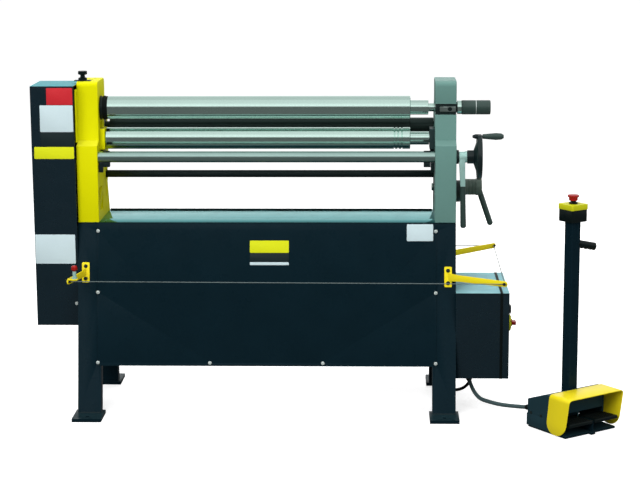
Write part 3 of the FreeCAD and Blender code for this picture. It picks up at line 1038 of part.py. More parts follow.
def cabinet():
    """The electrical cabinet on the right leg frame, its door, hinges, latch and main switch."""
    wall, z = "cabinet_wall", ("cabinet_low_z", "cabinet_top")
    y = (minus("cabinet_half"), "cabinet_half")
    end = "outer_face + cabinet_depth"
    outside = box("cabinet_outside", ("outer_face", end), y, z)
    inside = box("cabinet_inside", ("outer_face + " + wall, end + " + 1"),
                 (y[0] + " + " + wall, y[1] + " - " + wall), (z[0] + " + " + wall, z[1] + " - " + wall))
    soft = rounded("cabinet_soft", outside, "edge_break", lambda edge: runs_along(edge, 0))
    shell = cut("cabinet_shell", soft, inside)
    seal = box("seal_outside", (end, end + " + seal_width"), (y[0] + " + 1", y[1] + " - 1"),
               (z[0] + " + 1", z[1] + " - 1"))
    seal_inside = box("seal_inside", (end + " - 1", end + " + seal_width + 1"), (y[0] + " + 8", y[1] + " - 8"),
                      (z[0] + " + 8", z[1] + " - 8"))
    node(cut("cabinet_seal", seal, seal_inside))

    door = box("door_outside", ("door_x", "door_face"), y, z)
    door_soft = rounded("door_soft", door, "edge_break", lambda edge: near(edge.CenterOfMass.x, "door_face"))
    pan = box("door_inside", ("door_x - 1", "door_face - " + wall),
              (y[0] + " + " + wall, y[1] + " - " + wall), (z[0] + " + " + wall, z[1] + " - " + wall))
    hole = rod("door_latch_hole", "x", ("latch_y", "latch_z"), "latch_radius * 0.5 + running_fit", "door_x",
               "door_face + 1")
    switch_hole = rod("door_switch_hole", "x", ("switch_y", "switch_z"), "switch_knob_radius + 3", "door_x",
                      "door_face + 1")
    body_leaves, door_leaves = [], []
    for k, mid in enumerate(("cabinet_low_z + hinge_inset_z", "cabinet_top - hinge_inset_z")):
        low, high = mid + " - hinge_length / 2", mid + " + hinge_length / 2"
        body_leaves.append(box("hinge_leaf_%d" % k, (end + " - 20", "hinge_x"), ("cabinet_half",
                           "cabinet_half + 1.5"), (low, mid + " - body_gap")))
        body_leaves.append(rod("hinge_barrel_%d" % k, "z", ("hinge_x", "hinge_y"), "hinge_radius", low,
                               mid + " - body_gap"))
        body_leaves.append(rod("hinge_pin_%d" % k, "z", ("hinge_x", "hinge_y"), "hinge_pin_radius", low,
                               high + " - 1"))
        eye = rod("hinge_eye_%d" % k, "z", ("hinge_x", "hinge_y"), "hinge_radius", mid, high)
        leaf = box("hinge_wing_%d" % k, ("hinge_x", "door_x + 18"),
                   ("cabinet_half - 0.1", "cabinet_half + 1.5"), (mid, high))
        eye_bore = rod("hinge_bore_%d" % k, "z", ("hinge_x", "hinge_y"), "hinge_pin_radius + running_fit",
                       mid + " - 1", high + " - 0.5")
        door_leaves.append(cut("hinge_top_%d" % k, fuse("hinge_top_whole_%d" % k, eye, leaf), eye_bore))
    hinges = [fuse("hinge_low_%d" % k, *body_leaves[3 * k:3 * k + 3]) for k in (0, 1)]
    node(group("cabinet_body", shell, *hinges))
    node(cut("cabinet_door", fuse("door_whole", cut("door_pan", door_soft, pan), *door_leaves), hole,
             switch_hole))

    latch = rod("latch_stem", "x", ("latch_y", "latch_z"), "latch_radius * 0.5", "door_face - 12", "door_face")
    head = rod("latch_head", "x", ("latch_y", "latch_z"), "latch_radius", "door_face",
               "door_face + latch_reach * 0.6")
    wing = box("latch_wing", ("door_face", "door_face + latch_reach"), ("latch_y - 3", "latch_y + 3"),
               ("latch_z - 18", "latch_z + 18"))
    tongue = box("latch_tongue", ("door_face - 12", "door_face - 8"), ("latch_y - 26", "latch_y + 6"),
                 ("latch_z - 7", "latch_z + 7"))
    node(fuse("door_latch", latch, head, wing, tongue))
    at = ("switch_y", "switch_z")
    disc = rod("switch_disc", "x", at, "switch_radius", "door_face", "door_face + switch_thickness")
    barrel = rod("switch_barrel", "x", at, "switch_knob_radius + 2.5", "door_face - 16", "door_face + 1")
    bore = rod("switch_bore", "x", at, "6 + running_fit", "door_face - 12", "door_face + switch_thickness + 1")
    node(cut("switch_plate", fuse("switch_whole", disc, barrel), bore))
    knob_x = "door_face + switch_thickness"
    grip = box("switch_grip", (knob_x, knob_x + " + switch_knob_length"), ("switch_y - 5", "switch_y + 5"),
               ("switch_z - 20", "switch_z + 20"))
    base = rod("switch_base", "x", at, "switch_knob_radius + 9", knob_x, knob_x + " + 5")
    stem = rod("switch_stem", "x", at, "6", "door_face - 10", knob_x + " + 1")
    soft = rounded("switch_grip_soft", grip, "edge_break * 2", lambda edge: runs_along(edge, 0))
    node(fuse("switch_knob", soft, base, stem))


# ---------------------------------------------------------------- trip wire

def trip_arm(name, x, z, end, where, drop):
    """An arm from a leg to the trip wire: a plate on the leg, a flat bar and an end block."""
    low, high = "(%s) - arm_plate_height / 2" % z, "(%s) + arm_plate_height / 2" % z
    half = "arm_plate_width / 2"
    plate = slab(name + "_plate", (x + " - " + half, x + " + " + half), (low, high), ("0", "arm_sheet"), where)
    start = Vector(size(x), size(where(z, "arm_sheet - 1")), 0)
    stop = Vector(size(end[0]), size(end[1]), 0)
    along = (stop - start).normalize()
    across = Vector(-along.y, along.x, 0) * size("arm_sheet / 2")
    base, rise = size(z) - size("arm_height / 2"), size("arm_height")
    corners = [start + across, stop + across, stop - across, start - across]
    face = Part.Face(Part.makePolygon([Vector(p.x, p.y, base) for p in corners + corners[:1]]))
    bar = shaped(name + "_bar", face.extrude(Vector(0, 0, rise)))
    block = box(name + "_end", (end[0] + " - 15", end[0] + " + 15"), (end[1] + " - 6", end[1] + " + 6"),
                ("(%s) - arm_height / 2" % z, "(%s) + arm_height / 2" % z))
    pieces = [plate, bar, block]
    if drop:
        pieces.append(box(name + "_shelf", (end[0] + " + 10", end[0] + " + 32"),
                          (end[1] + " - 10", end[1] + " + 10"),
                          ("(%s) + arm_height / 2 - 4" % z, "(%s) + arm_height / 2" % z)))
    return fuse(name + "_whole", *pieces)


def trip_wire():
    """Four arms on the legs, the wire round three sides and the switch that it trips. Gives the screws."""
    spots = {
        "front_left": (minus("arm_plate_x"), "left_arm_z", ("left_end_x", "left_end_y"), front_y),
        "front_right": ("arm_plate_x", "right_arm_z", ("right_end_x", "right_end_y"), front_y),
        "rear_right": ("arm_plate_x", "rear_arm_z", ("right_end_x", "rear_end_y"), back_y),
        "rear_left": (minus("arm_plate_x"), "rear_arm_z", ("rear_left_end_x", "rear_end_y"), back_y),
    }
    order = ["front_left", "front_right", "rear_right", "rear_left"]
    ends = [Vector(size(spots[k][2][0]), size(spots[k][2][1]), size(spots[k][1])) for k in order]
    radius = size("wire_radius")
    wire, rooms = [], {name: [] for name in order}
    for k in range(3):
        first, second = ends[k], ends[k + 1]
        along = (second - first).normalize()
        inset = 8 if k != 1 else 0.5
        start, stop = first + along * inset, second - along * inset
        wire.append(Part.makeCylinder(radius, (stop - start).Length, start, along))
        tool = Part.makeCylinder(radius + 0.5, (stop - start).Length + 1, start - along * 0.5, along)
        rooms[order[k]].append(tool)
        rooms[order[k + 1]].append(tool)
    screws, arms = [], {}
    for name in order:
        x, z, end, where = spots[name]
        arm = trip_arm(name + "_arm", x, z, end, where, name == "front_left")
        taps = []
        for k, shift in enumerate((" - arm_screw_pitch / 2", " + arm_screw_pitch / 2")):
            taps.append(face_rod("%s_arm_tap_%d" % (name, k), x, z + shift,
                                 "arm_screw_radius / 2 + body_gap", ("0 - 1", "arm_sheet + 1"), where))
            slope = size("front_slope" if where is front_y else "back_slope")
            seat = "arm_sheet * %.9f" % math.cos(math.atan(slope))
            head = face_rod("%s_arm_head_%d" % (name, k), x, z + shift, "arm_screw_radius",
                            (seat, seat + " + 3.5"), where)
            shank = face_rod("%s_arm_shank_%d" % (name, k), x, z + shift, "arm_screw_radius / 2",
                             ("0.3", seat), where)
            screws += [head, shank]
        room = shaped(name + "_wire_room", Part.makeCompound(rooms[name]))
        arms[name] = cut(name + "_arm", arm, room, *taps)
    node(group("front_trip_arms", arms["front_left"], arms["front_right"]))
    node(group("rear_trip_arms", arms["rear_right"], arms["rear_left"]))
    node(shaped("trip_wire", Part.makeCompound(wire)))

    at = ("left_end_x + 21", "left_end_y")
    base = "left_arm_z + arm_height / 2"
    body = rod("trip_switch_blank", "z", at, "switch_body_radius", base, base + " + switch_body_height")
    bore = rod("trip_switch_bore", "z", at, "4 + running_fit", base + " + 4",
               base + " + switch_body_height + 1")
    node(cut("trip_switch", body, bore))
    cap = base + " + switch_body_height + reset_travel + 0.5"
    node(turned("trip_reset", "z", at, [
        (base + " + 10", "0"), (base + " + 10", "4"), (cap, "4"), (cap, "reset_radius"),
        (cap + " + reset_height - 4", "reset_radius"), (cap + " + reset_height", "reset_radius - 4"),
        (cap + " + reset_height", "0")]))
    return screws


# ---------------------------------------------------------------- pedal station

def station(piece):
    """Move a piece from the station's own axes to its place on the floor."""
    piece.Placement = Placement(Vector(), Rotation(Vector(0, 0, 1), size("station_turn")))
    return node(placed(piece, "station_x", "station_y"))


def pedal_station():
    """Base, housing, hood and pedals, and the post with its grip and emergency stop."""
    base = box("base_blank", (minus("pedal_half"), "pedal_half"), ("0", "housing_back_v - 4"),
               ("0", "base_thickness"))
    fin = box("base_fin", (minus("fin_half"), "fin_half"), ("pedal_front_v + 2", "housing_front_v - 1"),
              ("base_thickness - 1", "base_thickness + fin_height"))
    tongue = box("base_tongue", (minus("fin_half * 6"), "fin_half * 6"), ("pedal_front_v", "4"),
                 ("0", "base_thickness"))
    station(fuse("pedal_base", base, fin, tongue))

    half, wall = "housing_half", "housing_wall"
    outer = prism("housing_outer", "YZ_Plane", [
        ("housing_front_v", "base_thickness"), ("housing_front_v", "housing_top_z"),
        ("housing_slope_v", "housing_top_z"), ("housing_back_v", "housing_rear_z"),
        ("housing_back_v", "base_thickness")], minus(half), half)
    inner = prism("housing_inner", "YZ_Plane", [
        ("housing_front_v + " + wall, "base_thickness - 1"),
        ("housing_front_v + " + wall, "housing_top_z - " + wall),
        ("housing_slope_v - 1", "housing_top_z - " + wall),
        ("housing_back_v - " + wall, "housing_rear_z - " + wall),
        ("housing_back_v - " + wall, "base_thickness - 1")], minus(half + " - " + wall), half + " - " + wall)
    soft = rounded("housing_soft", outer, "housing_wall * 1.5", lambda edge: (
        edge.CenterOfMass.z > size("base_thickness") + 1))
    side = "post_side / 2 + post_fit"
    post_hole = box("housing_post_hole", (minus(side), side), ("post_v - (%s)" % side, "post_v + " + side),
                    ("base_thickness", "housing_top_z + 1"))
    windows = [box("housing_window_%s" % word, x, ("housing_front_v - 1", "housing_front_v + 5"),
                   ("base_thickness + 8", "pedal_pivot_z + 26"))
               for word, x in (("left", (minus("pedal_half - 2"), minus("pedal_gap - 2"))),
                               ("right", ("pedal_gap - 2", "pedal_half - 2")))]
    axle = ("pedal_pivot_v", "pedal_pivot_z")
    axle_hole = rod("housing_axle_hole", "x", axle, "pedal_pin_radius", minus(half + " + 1"), half + " + 1")
    station(cut("pedal_housing", soft, inner, post_hole, *windows, axle_hole))
    axle_bar = rod("axle_bar", "x", axle, "pedal_pin_radius", minus(half + " - 0.5"), half + " - 0.5")

    top, sheet = "hood_top_z", "hood_sheet"
    blank = box("hood_outer", (minus("hood_half"), "hood_half"), ("hood_front_v", "hood_back_v"),
                ("hood_low_z", top))
    shaped_hood = rounded("hood_soft", blank, "hood_radius", lambda edge: runs_along(edge, 1) and (
        edge.CenterOfMass.z > size("hood_top_z") - 1))
    room = box("hood_inner", (minus("hood_half - " + sheet), "hood_half - " + sheet),
               ("hood_front_v - 1", "hood_back_v + 1"), ("hood_low_z - 1", top + " - " + sheet))
    soft_room = rounded("hood_room", room, "hood_radius - hood_sheet", lambda edge: runs_along(edge, 1) and (
        edge.CenterOfMass.z > size("hood_low_z")))
    slope_cut = prism("hood_front_cut", "YZ_Plane", [
        ("hood_front_v - 1", "hood_low_z - 1"), ("hood_front_v + 26", "hood_low_z - 1"),
        ("hood_front_v - 1", "hood_low_z + 40")], minus("hood_half + 1"), "hood_half + 1")
    station(cut("pedal_hood", shaped_hood, soft_room, slope_cut))

    for word, x in (("left", (minus("pedal_half - 5"), minus("pedal_gap"))),
                    ("right", ("pedal_gap", "pedal_half - 5"))):
        tip, rise = "pedal_front_v", "pedal_pivot_z + pedal_rise"
        sheet = prism("%s_pedal_blank" % word, "YZ_Plane", [
            (tip, rise + " - pedal_thickness / 2"),
            ("pedal_pivot_v + 9", "pedal_pivot_z - pedal_thickness / 2 - 2"),
            ("pedal_pivot_v + 9", "pedal_pivot_z + pedal_thickness / 2 + 2"),
            ("housing_front_v - 4", "pedal_pivot_z + pedal_thickness / 2 + 4"),
            (tip, rise + " + pedal_thickness / 2")], *x)
        soft = rounded("%s_pedal_soft" % word, sheet, "edge_break * 2", lambda edge: runs_along(edge, 0) and (
            edge.CenterOfMass.y < size("pedal_front_v + 1")))
        hole = rod("%s_pedal_bore" % word, "x", axle, "pedal_pin_radius + running_fit",
                   minus("pedal_half"), "pedal_half")
        station(cut("%s_pedal" % word, soft, hole))

    screws = []
    for side_word, side in (("left", -1), ("right", 1)):
        for k, v in enumerate(("housing_back_v - 21", "housing_back_v - 71")):
            screws.append(rod("housing_screw_%s_%d" % (side_word, k), "x", (v, "54"), "5",
                              *sides(side, "housing_half", "housing_half + 2.5")))
    station(group("pedal_axle", axle_bar, *screws))

    side = "post_side / 2"
    v = ("post_v - " + side, "post_v + " + side)
    post = rounded("post_soft", box("post_outside", (minus(side), side), v, ("base_thickness", "post_top_z")),
                   "post_wall", lambda edge: runs_along(edge, 2))
    hollow = box("post_inside", (minus(side + " - post_wall"), side + " - post_wall"),
                 (v[0] + " + post_wall", v[1] + " - post_wall"),
                 ("base_thickness - 1", "post_top_z - post_wall"))
    station(cut("station_post", post, hollow))
    start, end = side, side + " + post_grip_length"
    grip = turned("grip_blank", "x", ("post_v", "grip_z"), [
        (start, "0"), (start, "post_grip_radius + 1.5"), (start + " + 4", "post_grip_radius + 1.5"),
        (start + " + 8", "post_grip_radius"), (end + " - 6", "post_grip_radius"),
        (end, "post_grip_radius - 5"), (end, "0")])
    notches = [rod("grip_notch_%d" % k, "y", (start + " + %d" % x, "grip_z - post_grip_radius - 5"), "8",
                   "post_v - 25", "post_v + 25") for k, x in enumerate((16, 30, 44))]
    station(cut("post_grip", grip, *notches))

    side = "box_side / 2"
    v = ("post_v - " + side, "post_v + " + side)
    low = rounded("stop_box_soft", box("stop_box_blank", (minus(side), side), v, ("box_z", "lid_z")), "6",
                  lambda edge: runs_along(edge, 2))
    bore = rod("stop_bore", "z", ("0", "post_v"), "button_stem_radius + running_fit", "box_z + 12",
               "lid_top + 10")
    box_bored = cut("stop_box_bored", low, bore)
    lid = rounded("stop_lid_edges", box("stop_lid_blank", (minus(side), side), v, ("lid_z", "lid_top")), "6",
                  lambda edge: runs_along(edge, 2))
    lid_soft = rounded("stop_lid_soft", lid, "edge_break * 2", lambda edge: near(
        edge.CenterOfMass.z, "lid_top", 0.01))
    station(cut("stop_lid", lid_soft, bore))
    collar = rod("stop_collar_blank", "z", ("0", "post_v"), "button_stem_radius + 5", "lid_top", "lid_top + 8")
    station(group("stop_box", box_bored, cut("stop_collar", collar, bore)))
    cap = "lid_top + button_rise"
    button = turned("stop_button_blank", "z", ("0", "post_v"), [
        ("box_z + 22", "0"), ("box_z + 22", "button_stem_radius"), (cap, "button_stem_radius"),
        (cap, "button_radius - 3"), (cap + " + 5", "button_radius"),
        (cap + " + button_height - 8", "button_radius"), (cap + " + button_height - 2", "button_radius - 5"),
        (cap + " + button_height", "button_radius - 11"), (cap + " + button_height", "0")])
    station(group("stop_button", button))


# ---------------------------------------------------------------- cables

def cord(name, points, radius):
    """A cable of straight runs joined by arcs, through the given corners."""
    corners = [Vector(*p) for p in points]
    edges, last = [], corners[0]
    for before, corner, after in zip(corners, corners[1:], corners[2:]):
        come, go = (corner - before), (after - corner)
        turn = come.getAngle(go)
        reach = 0.45 * min(come.Length, go.Length)
        bend = reach / math.tan(turn / 2)
        print("%s bend radius %.1f" % (name, bend))
        come.normalize()
        go.normalize()
        start, stop = corner - come * reach, corner + go * reach
        middle = corner + (go - come).normalize() * (bend / math.cos(turn / 2) - bend)
        edges.append(Part.LineSegment(last, start).toShape())
        edges.append(Part.Arc(start, middle, stop).toShape())
        last = stop
    edges.append(Part.LineSegment(last, corners[-1]).toShape())
    path = Part.Wire(edges)
    first = (corners[1] - corners[0]).normalize()
    ring = Part.Wire([Part.makeCircle(radius, corners[0], first)])
    shape = path.makePipeShell([ring], True, False)
    print("%s length %.0f" % (name, path.Length))
    return node(shaped(name, shape))


def cables():
    """The cable from the cabinet to the pedals, the motor's cable, and their glands."""
    turn = math.radians(size("station_turn"))
    u_axis = Vector(math.cos(turn), math.sin(turn), 0)
    v_axis = Vector(-math.sin(turn), math.cos(turn), 0)
    origin = Vector(size("station_x"), size("station_y"), 0)
    wall = origin + u_axis * size("pedal_gland_u") + v_axis * size("housing_back_v")
    wall.z = size("pedal_gland_z")
    radius = size("gland_radius")
    low = size("cabinet_low_z")

    arrive = Vector(-0.68, 0.72, -0.16)
    pedal_end, tip = gland("pedal_gland", wall, v_axis, arrive, radius, 26)
    leave = Vector(0.46, -0.49, -0.74)
    start_at = Vector(size("pedal_gland_x"), size("pedal_gland_y"), low)
    pedal_start, root = gland("cabinet_gland_a", start_at, Vector(0, 0, -1), leave, radius, 26)
    first = root + leave.normalize() * 72
    before_tip = tip + arrive.normalize() * 72
    span = before_tip - first
    middle = first + span * 0.5
    middle.z = min(first.z, before_tip.z) - 4
    cord("pedal_cable", [root, first, middle, before_tip, tip], size("cable_radius"))

    motor_at = Vector(size("motor_gland_x"), size("motor_gland_y"), low)
    motor_start, out = gland("cabinet_gland_b", motor_at, Vector(0, 0, -1), Vector(0, 0, -1), radius, 4)
    inlet, _ = gland("cabinet_gland_c", Vector(size("outer_face + 40"), 90, low), Vector(0, 0, -1),
                     Vector(0, 0, -1), radius, 6)
    rail = Vector(size("inner_face + 15"), size("motor_gland_y"), size("rail_low_z"))
    grommet, back = gland("rail_gland", rail, Vector(0, 0, -1), Vector(0, 0, -1), radius * 0.8, 4)
    floor = 42
    width = out.x - back.x
    drop = [Vector(out.x, out.y, floor + 34), Vector(out.x - 34, out.y, floor),
            Vector(back.x + 34, out.y, floor), Vector(back.x, out.y, floor + 34)]
    print("motor cable span %.1f" % width)
    cord("motor_cable", [out, *drop, back], size("motor_cable_radius"))
    node(group("cable_glands", pedal_end, pedal_start, motor_start, inlet, grommet))


def build():
    """Make every piece, check each object and write one file per node."""
    fill_sheet()
    fasteners = stand()
    castings()
    gear_cover()
    rolls(drive())
    swing_block()
    lower_carriage()
    pinch_lever()
    rear_carriage()
    cabinet()
    fasteners += trip_wire()
    node(group("stand_screws", *fasteners))
    pedal_station()
    cables()
    doc.recompute()
    bad = [o.Label for o in doc.Objects if "Invalid" in o.State or "Error" in o.State]
    os.makedirs("parts", exist_ok=True)
    for name, piece in nodes.items():
        shape = piece.Shape
        if shape.isNull() or not shape.isValid() or not shape.Solids:
            bad.append(name)
            continue
        shape.exportStep("parts/%s.step" % name)
    print("%d nodes written" % (len(nodes) - len(set(bad) & set(nodes))))
    if bad:
        raise SystemExit("not sound: " + ", ".join(bad))


build()
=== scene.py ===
"""Looks of a powered three-roll slip roll machine with a foot-pedal station.

Sizes are written in millimetres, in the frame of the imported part: +X to the operator's right, +Y away
from the operator and +Z up, with the origin on the floor between the four feet.
"""

import logging
import math
import random
from dataclasses import dataclass, replace
from enum import Enum

import bmesh
import bpy
from mathutils import Matrix, Vector


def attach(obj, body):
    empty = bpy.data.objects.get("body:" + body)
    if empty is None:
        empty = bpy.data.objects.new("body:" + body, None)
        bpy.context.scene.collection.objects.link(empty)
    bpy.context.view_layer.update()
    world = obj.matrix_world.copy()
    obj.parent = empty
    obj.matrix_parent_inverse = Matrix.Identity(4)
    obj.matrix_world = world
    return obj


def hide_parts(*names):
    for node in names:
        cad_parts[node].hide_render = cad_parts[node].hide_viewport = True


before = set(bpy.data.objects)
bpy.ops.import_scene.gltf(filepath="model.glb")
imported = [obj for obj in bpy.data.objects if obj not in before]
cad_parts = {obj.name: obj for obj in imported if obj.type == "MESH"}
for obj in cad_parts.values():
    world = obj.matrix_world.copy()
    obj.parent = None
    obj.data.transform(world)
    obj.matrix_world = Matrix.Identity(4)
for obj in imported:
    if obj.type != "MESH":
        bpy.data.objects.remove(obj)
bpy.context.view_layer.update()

LOG = logging.getLogger("slip_roll")
MM = 0.001
FULL_TURN = 2 * math.pi
WHITE = (1, 1, 1, 1)
UP = Vector((0, 0, 1))
TO_BACK = Vector((0, 1, 0))
TO_FRONT = Vector((0, -1, 0))
OWN_AXES = Matrix.Identity(4)
Rgb = tuple[float, float, float]
Point = tuple[float, float, float]
Pair = tuple[float, float]
Four = tuple[float, float, float, float]
Outline = list[tuple[float, float]]
Faces = list[tuple[int, ...]]
Socket = bpy.types.NodeSocket


class Along(Enum):
    """The axis that a turned piece lies along."""

    X = 0
    Y = 1
    Z = 2


class Effect(Enum):
    """A shared surface effect, by the name of its node group."""

    TONE = "Tone"
    EDGE_WEAR = "EdgeWear"
    # Film on upward faces: dust on most finishes, painted sheen on the dark tops.
    DUST_AND_SHEEN = "DustAndSheen"
    GRAIN = "Grain"
    TURNING = "TurningMarks"


# ---------------------------------------------------------------- node groups


class Board:
    """A node tree with short calls that add nodes and wire them."""

    def __init__(self, tree: bpy.types.NodeTree, shelf: "EffectShelf | None" = None) -> None:
        """Keep the tree that the nodes go into, and the shared effects that it may use."""
        self.tree = tree
        self.shelf = shelf

    def add(self, kind: str, plugs: dict | None = None, **settings: object) -> bpy.types.Node:
        """Add a node.

        Args:
            kind: The node's type name.
            plugs: What goes into each input, a socket or a value, by name or number.
            **settings: Properties of the node.

        Returns:
            The new node.
        """
        node = self.tree.nodes.new(kind)
        for name, value in settings.items():
            setattr(node, name, value)
        for name, value in (plugs or {}).items():
            self.plug(node.inputs[name], value)
        return node

    def plug(self, socket: Socket, value: object) -> None:
        """Wire a socket to another one, or set its own value.

        Args:
            socket: The input.
            value: An output socket, or a plain value.
        """
        if isinstance(value, bpy.types.NodeSocket):
            self.tree.links.new(value, socket)
        else:
            socket.default_value = value

    def calc(self, operation: str, first: object, second: object = 0.0, clamp: bool = False) -> Socket:
        """Join two values with a Math node and give its output."""
        node = self.add("ShaderNodeMath", {0: first, 1: second}, operation=operation, use_clamp=clamp)
        return node.outputs[0]

    def plus(self, first: object, second: object, clamp: bool = False) -> Socket:
        """The sum of two values."""
        return self.calc("ADD", first, second, clamp)

    def times(self, first: object, second: object, clamp: bool = False) -> Socket:
        """The product of two values."""
        return self.calc("MULTIPLY", first, second, clamp)

    def blend(self, share: object, first: object, second: object) -> Socket:
        """Mix two colours by a share."""
        return self.add("ShaderNodeMix", {0: share, 6: first, 7: second}, data_type="RGBA").outputs[2]

    def either(self, share: object, first: bpy.types.Node, second: bpy.types.Node) -> bpy.types.Node:
        """Mix two shaders by a share."""
        return self.add("ShaderNodeMixShader", {0: share, 1: first.outputs[0], 2: second.outputs[0]})

    def ramp(self, value: object, low: float, high: float, to_low: float, to_high: float) -> Socket:
        """Map a value from one range to another, held inside it."""
        return self.add("ShaderNodeMapRange", {"Value": value, "From Min": low, "From Max": high,
                                               "To Min": to_low, "To Max": to_high}, clamp=True).outputs[0]

    def noise(self, where: object, scale: object, detail: float = 3.0, rough: float = 0.55) -> Socket:
        """A noise value over the surface."""
        return self.add("ShaderNodeTexNoise", {"Vector": where, "Scale": scale, "Detail": detail,
                                               "Roughness": rough}).outputs[0]

    def place(self) -> Socket:
        """The point of the surface, in the object's own metres."""
        return self.add("ShaderNodeTexCoord").outputs["Object"]

    def effect(self, effect: Effect, **plugs: object) -> bpy.types.NodeOutputs:
        """Place a shared effect with its own values, and give its outputs."""
        return self.add("ShaderNodeGroup", plugs, node_tree=self.shelf.group(effect)).outputs


class EffectShelf:
    """The shared effects, each built once as a node group."""

    def __init__(self) -> None:
        """Start with no group made."""
        self._made: dict[Effect, bpy.types.NodeTree] = {}

    def group(self, effect: Effect) -> bpy.types.NodeTree:
        """Build the node group of an effect at its first use.

        Args:
            effect: Which effect.

        Returns:
            Its node group.
        """
        if effect not in self._made:
            makers = {Effect.TONE: self._tone, Effect.EDGE_WEAR: self._edge_wear, Effect.DUST_AND_SHEEN: self._dust_and_sheen,
                      Effect.GRAIN: self._grain, Effect.TURNING: self._turning}
            self._made[effect] = bpy.data.node_groups.new(effect.value, "ShaderNodeTree")
            makers[effect](self._made[effect])
        return self._made[effect]

    @staticmethod
    def _ends(tree: bpy.types.NodeTree, inputs: dict[str, object], *outputs: str) -> tuple:
        """Give a group its sockets: one named Color holds a colour, and any other a number.

        Args:
            tree: The group.
            inputs: The first value of each input, by name.
            *outputs: The name of each output.

        Returns:
            The board, the sockets that come into the group and those that go out of it.
        """
        for way, names in (("INPUT", inputs), ("OUTPUT", outputs)):
            for name in names:
                kind = "NodeSocketColor" if name == "Color" else "NodeSocketFloat"
                entry = tree.interface.new_socket(name=name, in_out=way, socket_type=kind)
                if way == "INPUT":
                    entry.default_value = inputs[name]
        return Board(tree), tree.nodes.new("NodeGroupInput").outputs, tree.nodes.new("NodeGroupOutput").inputs

    def _tone(self, tree: bpy.types.NodeTree) -> None:
        """Slow patches and fine specks that lighten and darken a colour.

        Args:
            tree: The group that it goes into.
        """
        first = {"Color": (0.5, 0.5, 0.5, 1), "Amount": 0.1, "Scale": 8.0}
        board, given, result = self._ends(tree, first, "Color")
        where = board.place()
        slow = board.noise(where, given["Scale"], 4)
        fine = board.noise(where, board.times(given["Scale"], 23.0), 2)
        both = board.plus(board.times(slow, 0.7), board.times(fine, 0.3))
        swing = board.times(board.calc("SUBTRACT", both, 0.5), board.times(given["Amount"], 4.0))
        value = board.plus(swing, 1.0)
        shift = board.add("ShaderNodeHueSaturation", {"Color": given["Color"], "Value": value})
        board.plug(result["Color"], shift.outputs[0])

    def _edge_wear(self, tree: bpy.types.NodeTree) -> None:
        """A broken line of wear along convex and concave edges.

        Args:
            tree: The group that it goes into.
        """
        board, given, result = self._ends(tree, {"Width": 0.0015, "Amount": 0.3}, "Mask")
        soft = board.add("ShaderNodeBevel", {"Radius": given["Width"]}, samples=4)
        true = board.add("ShaderNodeNewGeometry")
        dot = board.add("ShaderNodeVectorMath", {0: soft.outputs[0], 1: true.outputs["Normal"]},
                        operation="DOT_PRODUCT")
        bend = board.times(board.calc("SUBTRACT", 1.0, dot.outputs["Value"]), 5.0, clamp=True)
        chips = board.ramp(board.noise(board.place(), 60.0, 5, 0.7), 0.42, 0.62, 0.0, 1.0)
        board.plug(result["Mask"], board.times(board.times(bend, chips), given["Amount"], clamp=True))

    def _dust_and_sheen(self, tree: bpy.types.NodeTree) -> None:
        """A thin uneven film on surfaces that face up: dust on most finishes, painted sheen on the dark tops.

        Args:
            tree: The group that it goes into.
        """
        board, given, result = self._ends(tree, {"Amount": 0.1}, "Mask")
        normal = board.add("ShaderNodeSeparateXYZ", {0: board.add("ShaderNodeNewGeometry").outputs["Normal"]})
        lying = board.ramp(normal.outputs["Z"], 0.55, 0.95, 0.0, 1.0)
        cloud = board.ramp(board.noise(board.place(), 14.0, 5, 0.6), 0.3, 0.7, 0.72, 1.0)
        board.plug(result["Mask"], board.times(board.times(lying, cloud), given["Amount"], clamp=True))

    def _grain(self, tree: bpy.types.NodeTree) -> None:
        """The fine relief of cast, painted or moulded surfaces.

        Args:
            tree: The group that it goes into.
        """
        board, given, result = self._ends(tree, {"Scale": 300.0, "Coarse": 0.3}, "Height")
        where = board.place()
        fine = board.noise(where, given["Scale"], 3)
        slow = board.noise(where, board.times(given["Scale"], 0.12), 2)
        board.plug(result["Height"], board.plus(fine, board.times(slow, given["Coarse"])))

    def _turning(self, tree: bpy.types.NodeTree) -> None:
        """Fine rings round the X axis, as turning and grinding leave them.

        Args:
            tree: The group that it goes into.
        """
        board, given, result = self._ends(tree, {"Pitch": 900.0, "Amount": 0.4}, "Mask", "Height")
        where = board.place()
        squeeze = board.add("ShaderNodeVectorMath", {0: where, 1: (1.0, 0.012, 0.012)}, operation="MULTIPLY")
        rings = board.noise(squeeze.outputs[0], given["Pitch"], 4, 0.65)
        smears = board.noise(where, 7.0, 4, 0.6)
        mask = board.plus(board.times(rings, 0.6), board.times(smears, 0.4))
        board.plug(result["Mask"], board.times(mask, given["Amount"]))
        board.plug(result["Height"], rings)


# ---------------------------------------------------------------- finishes


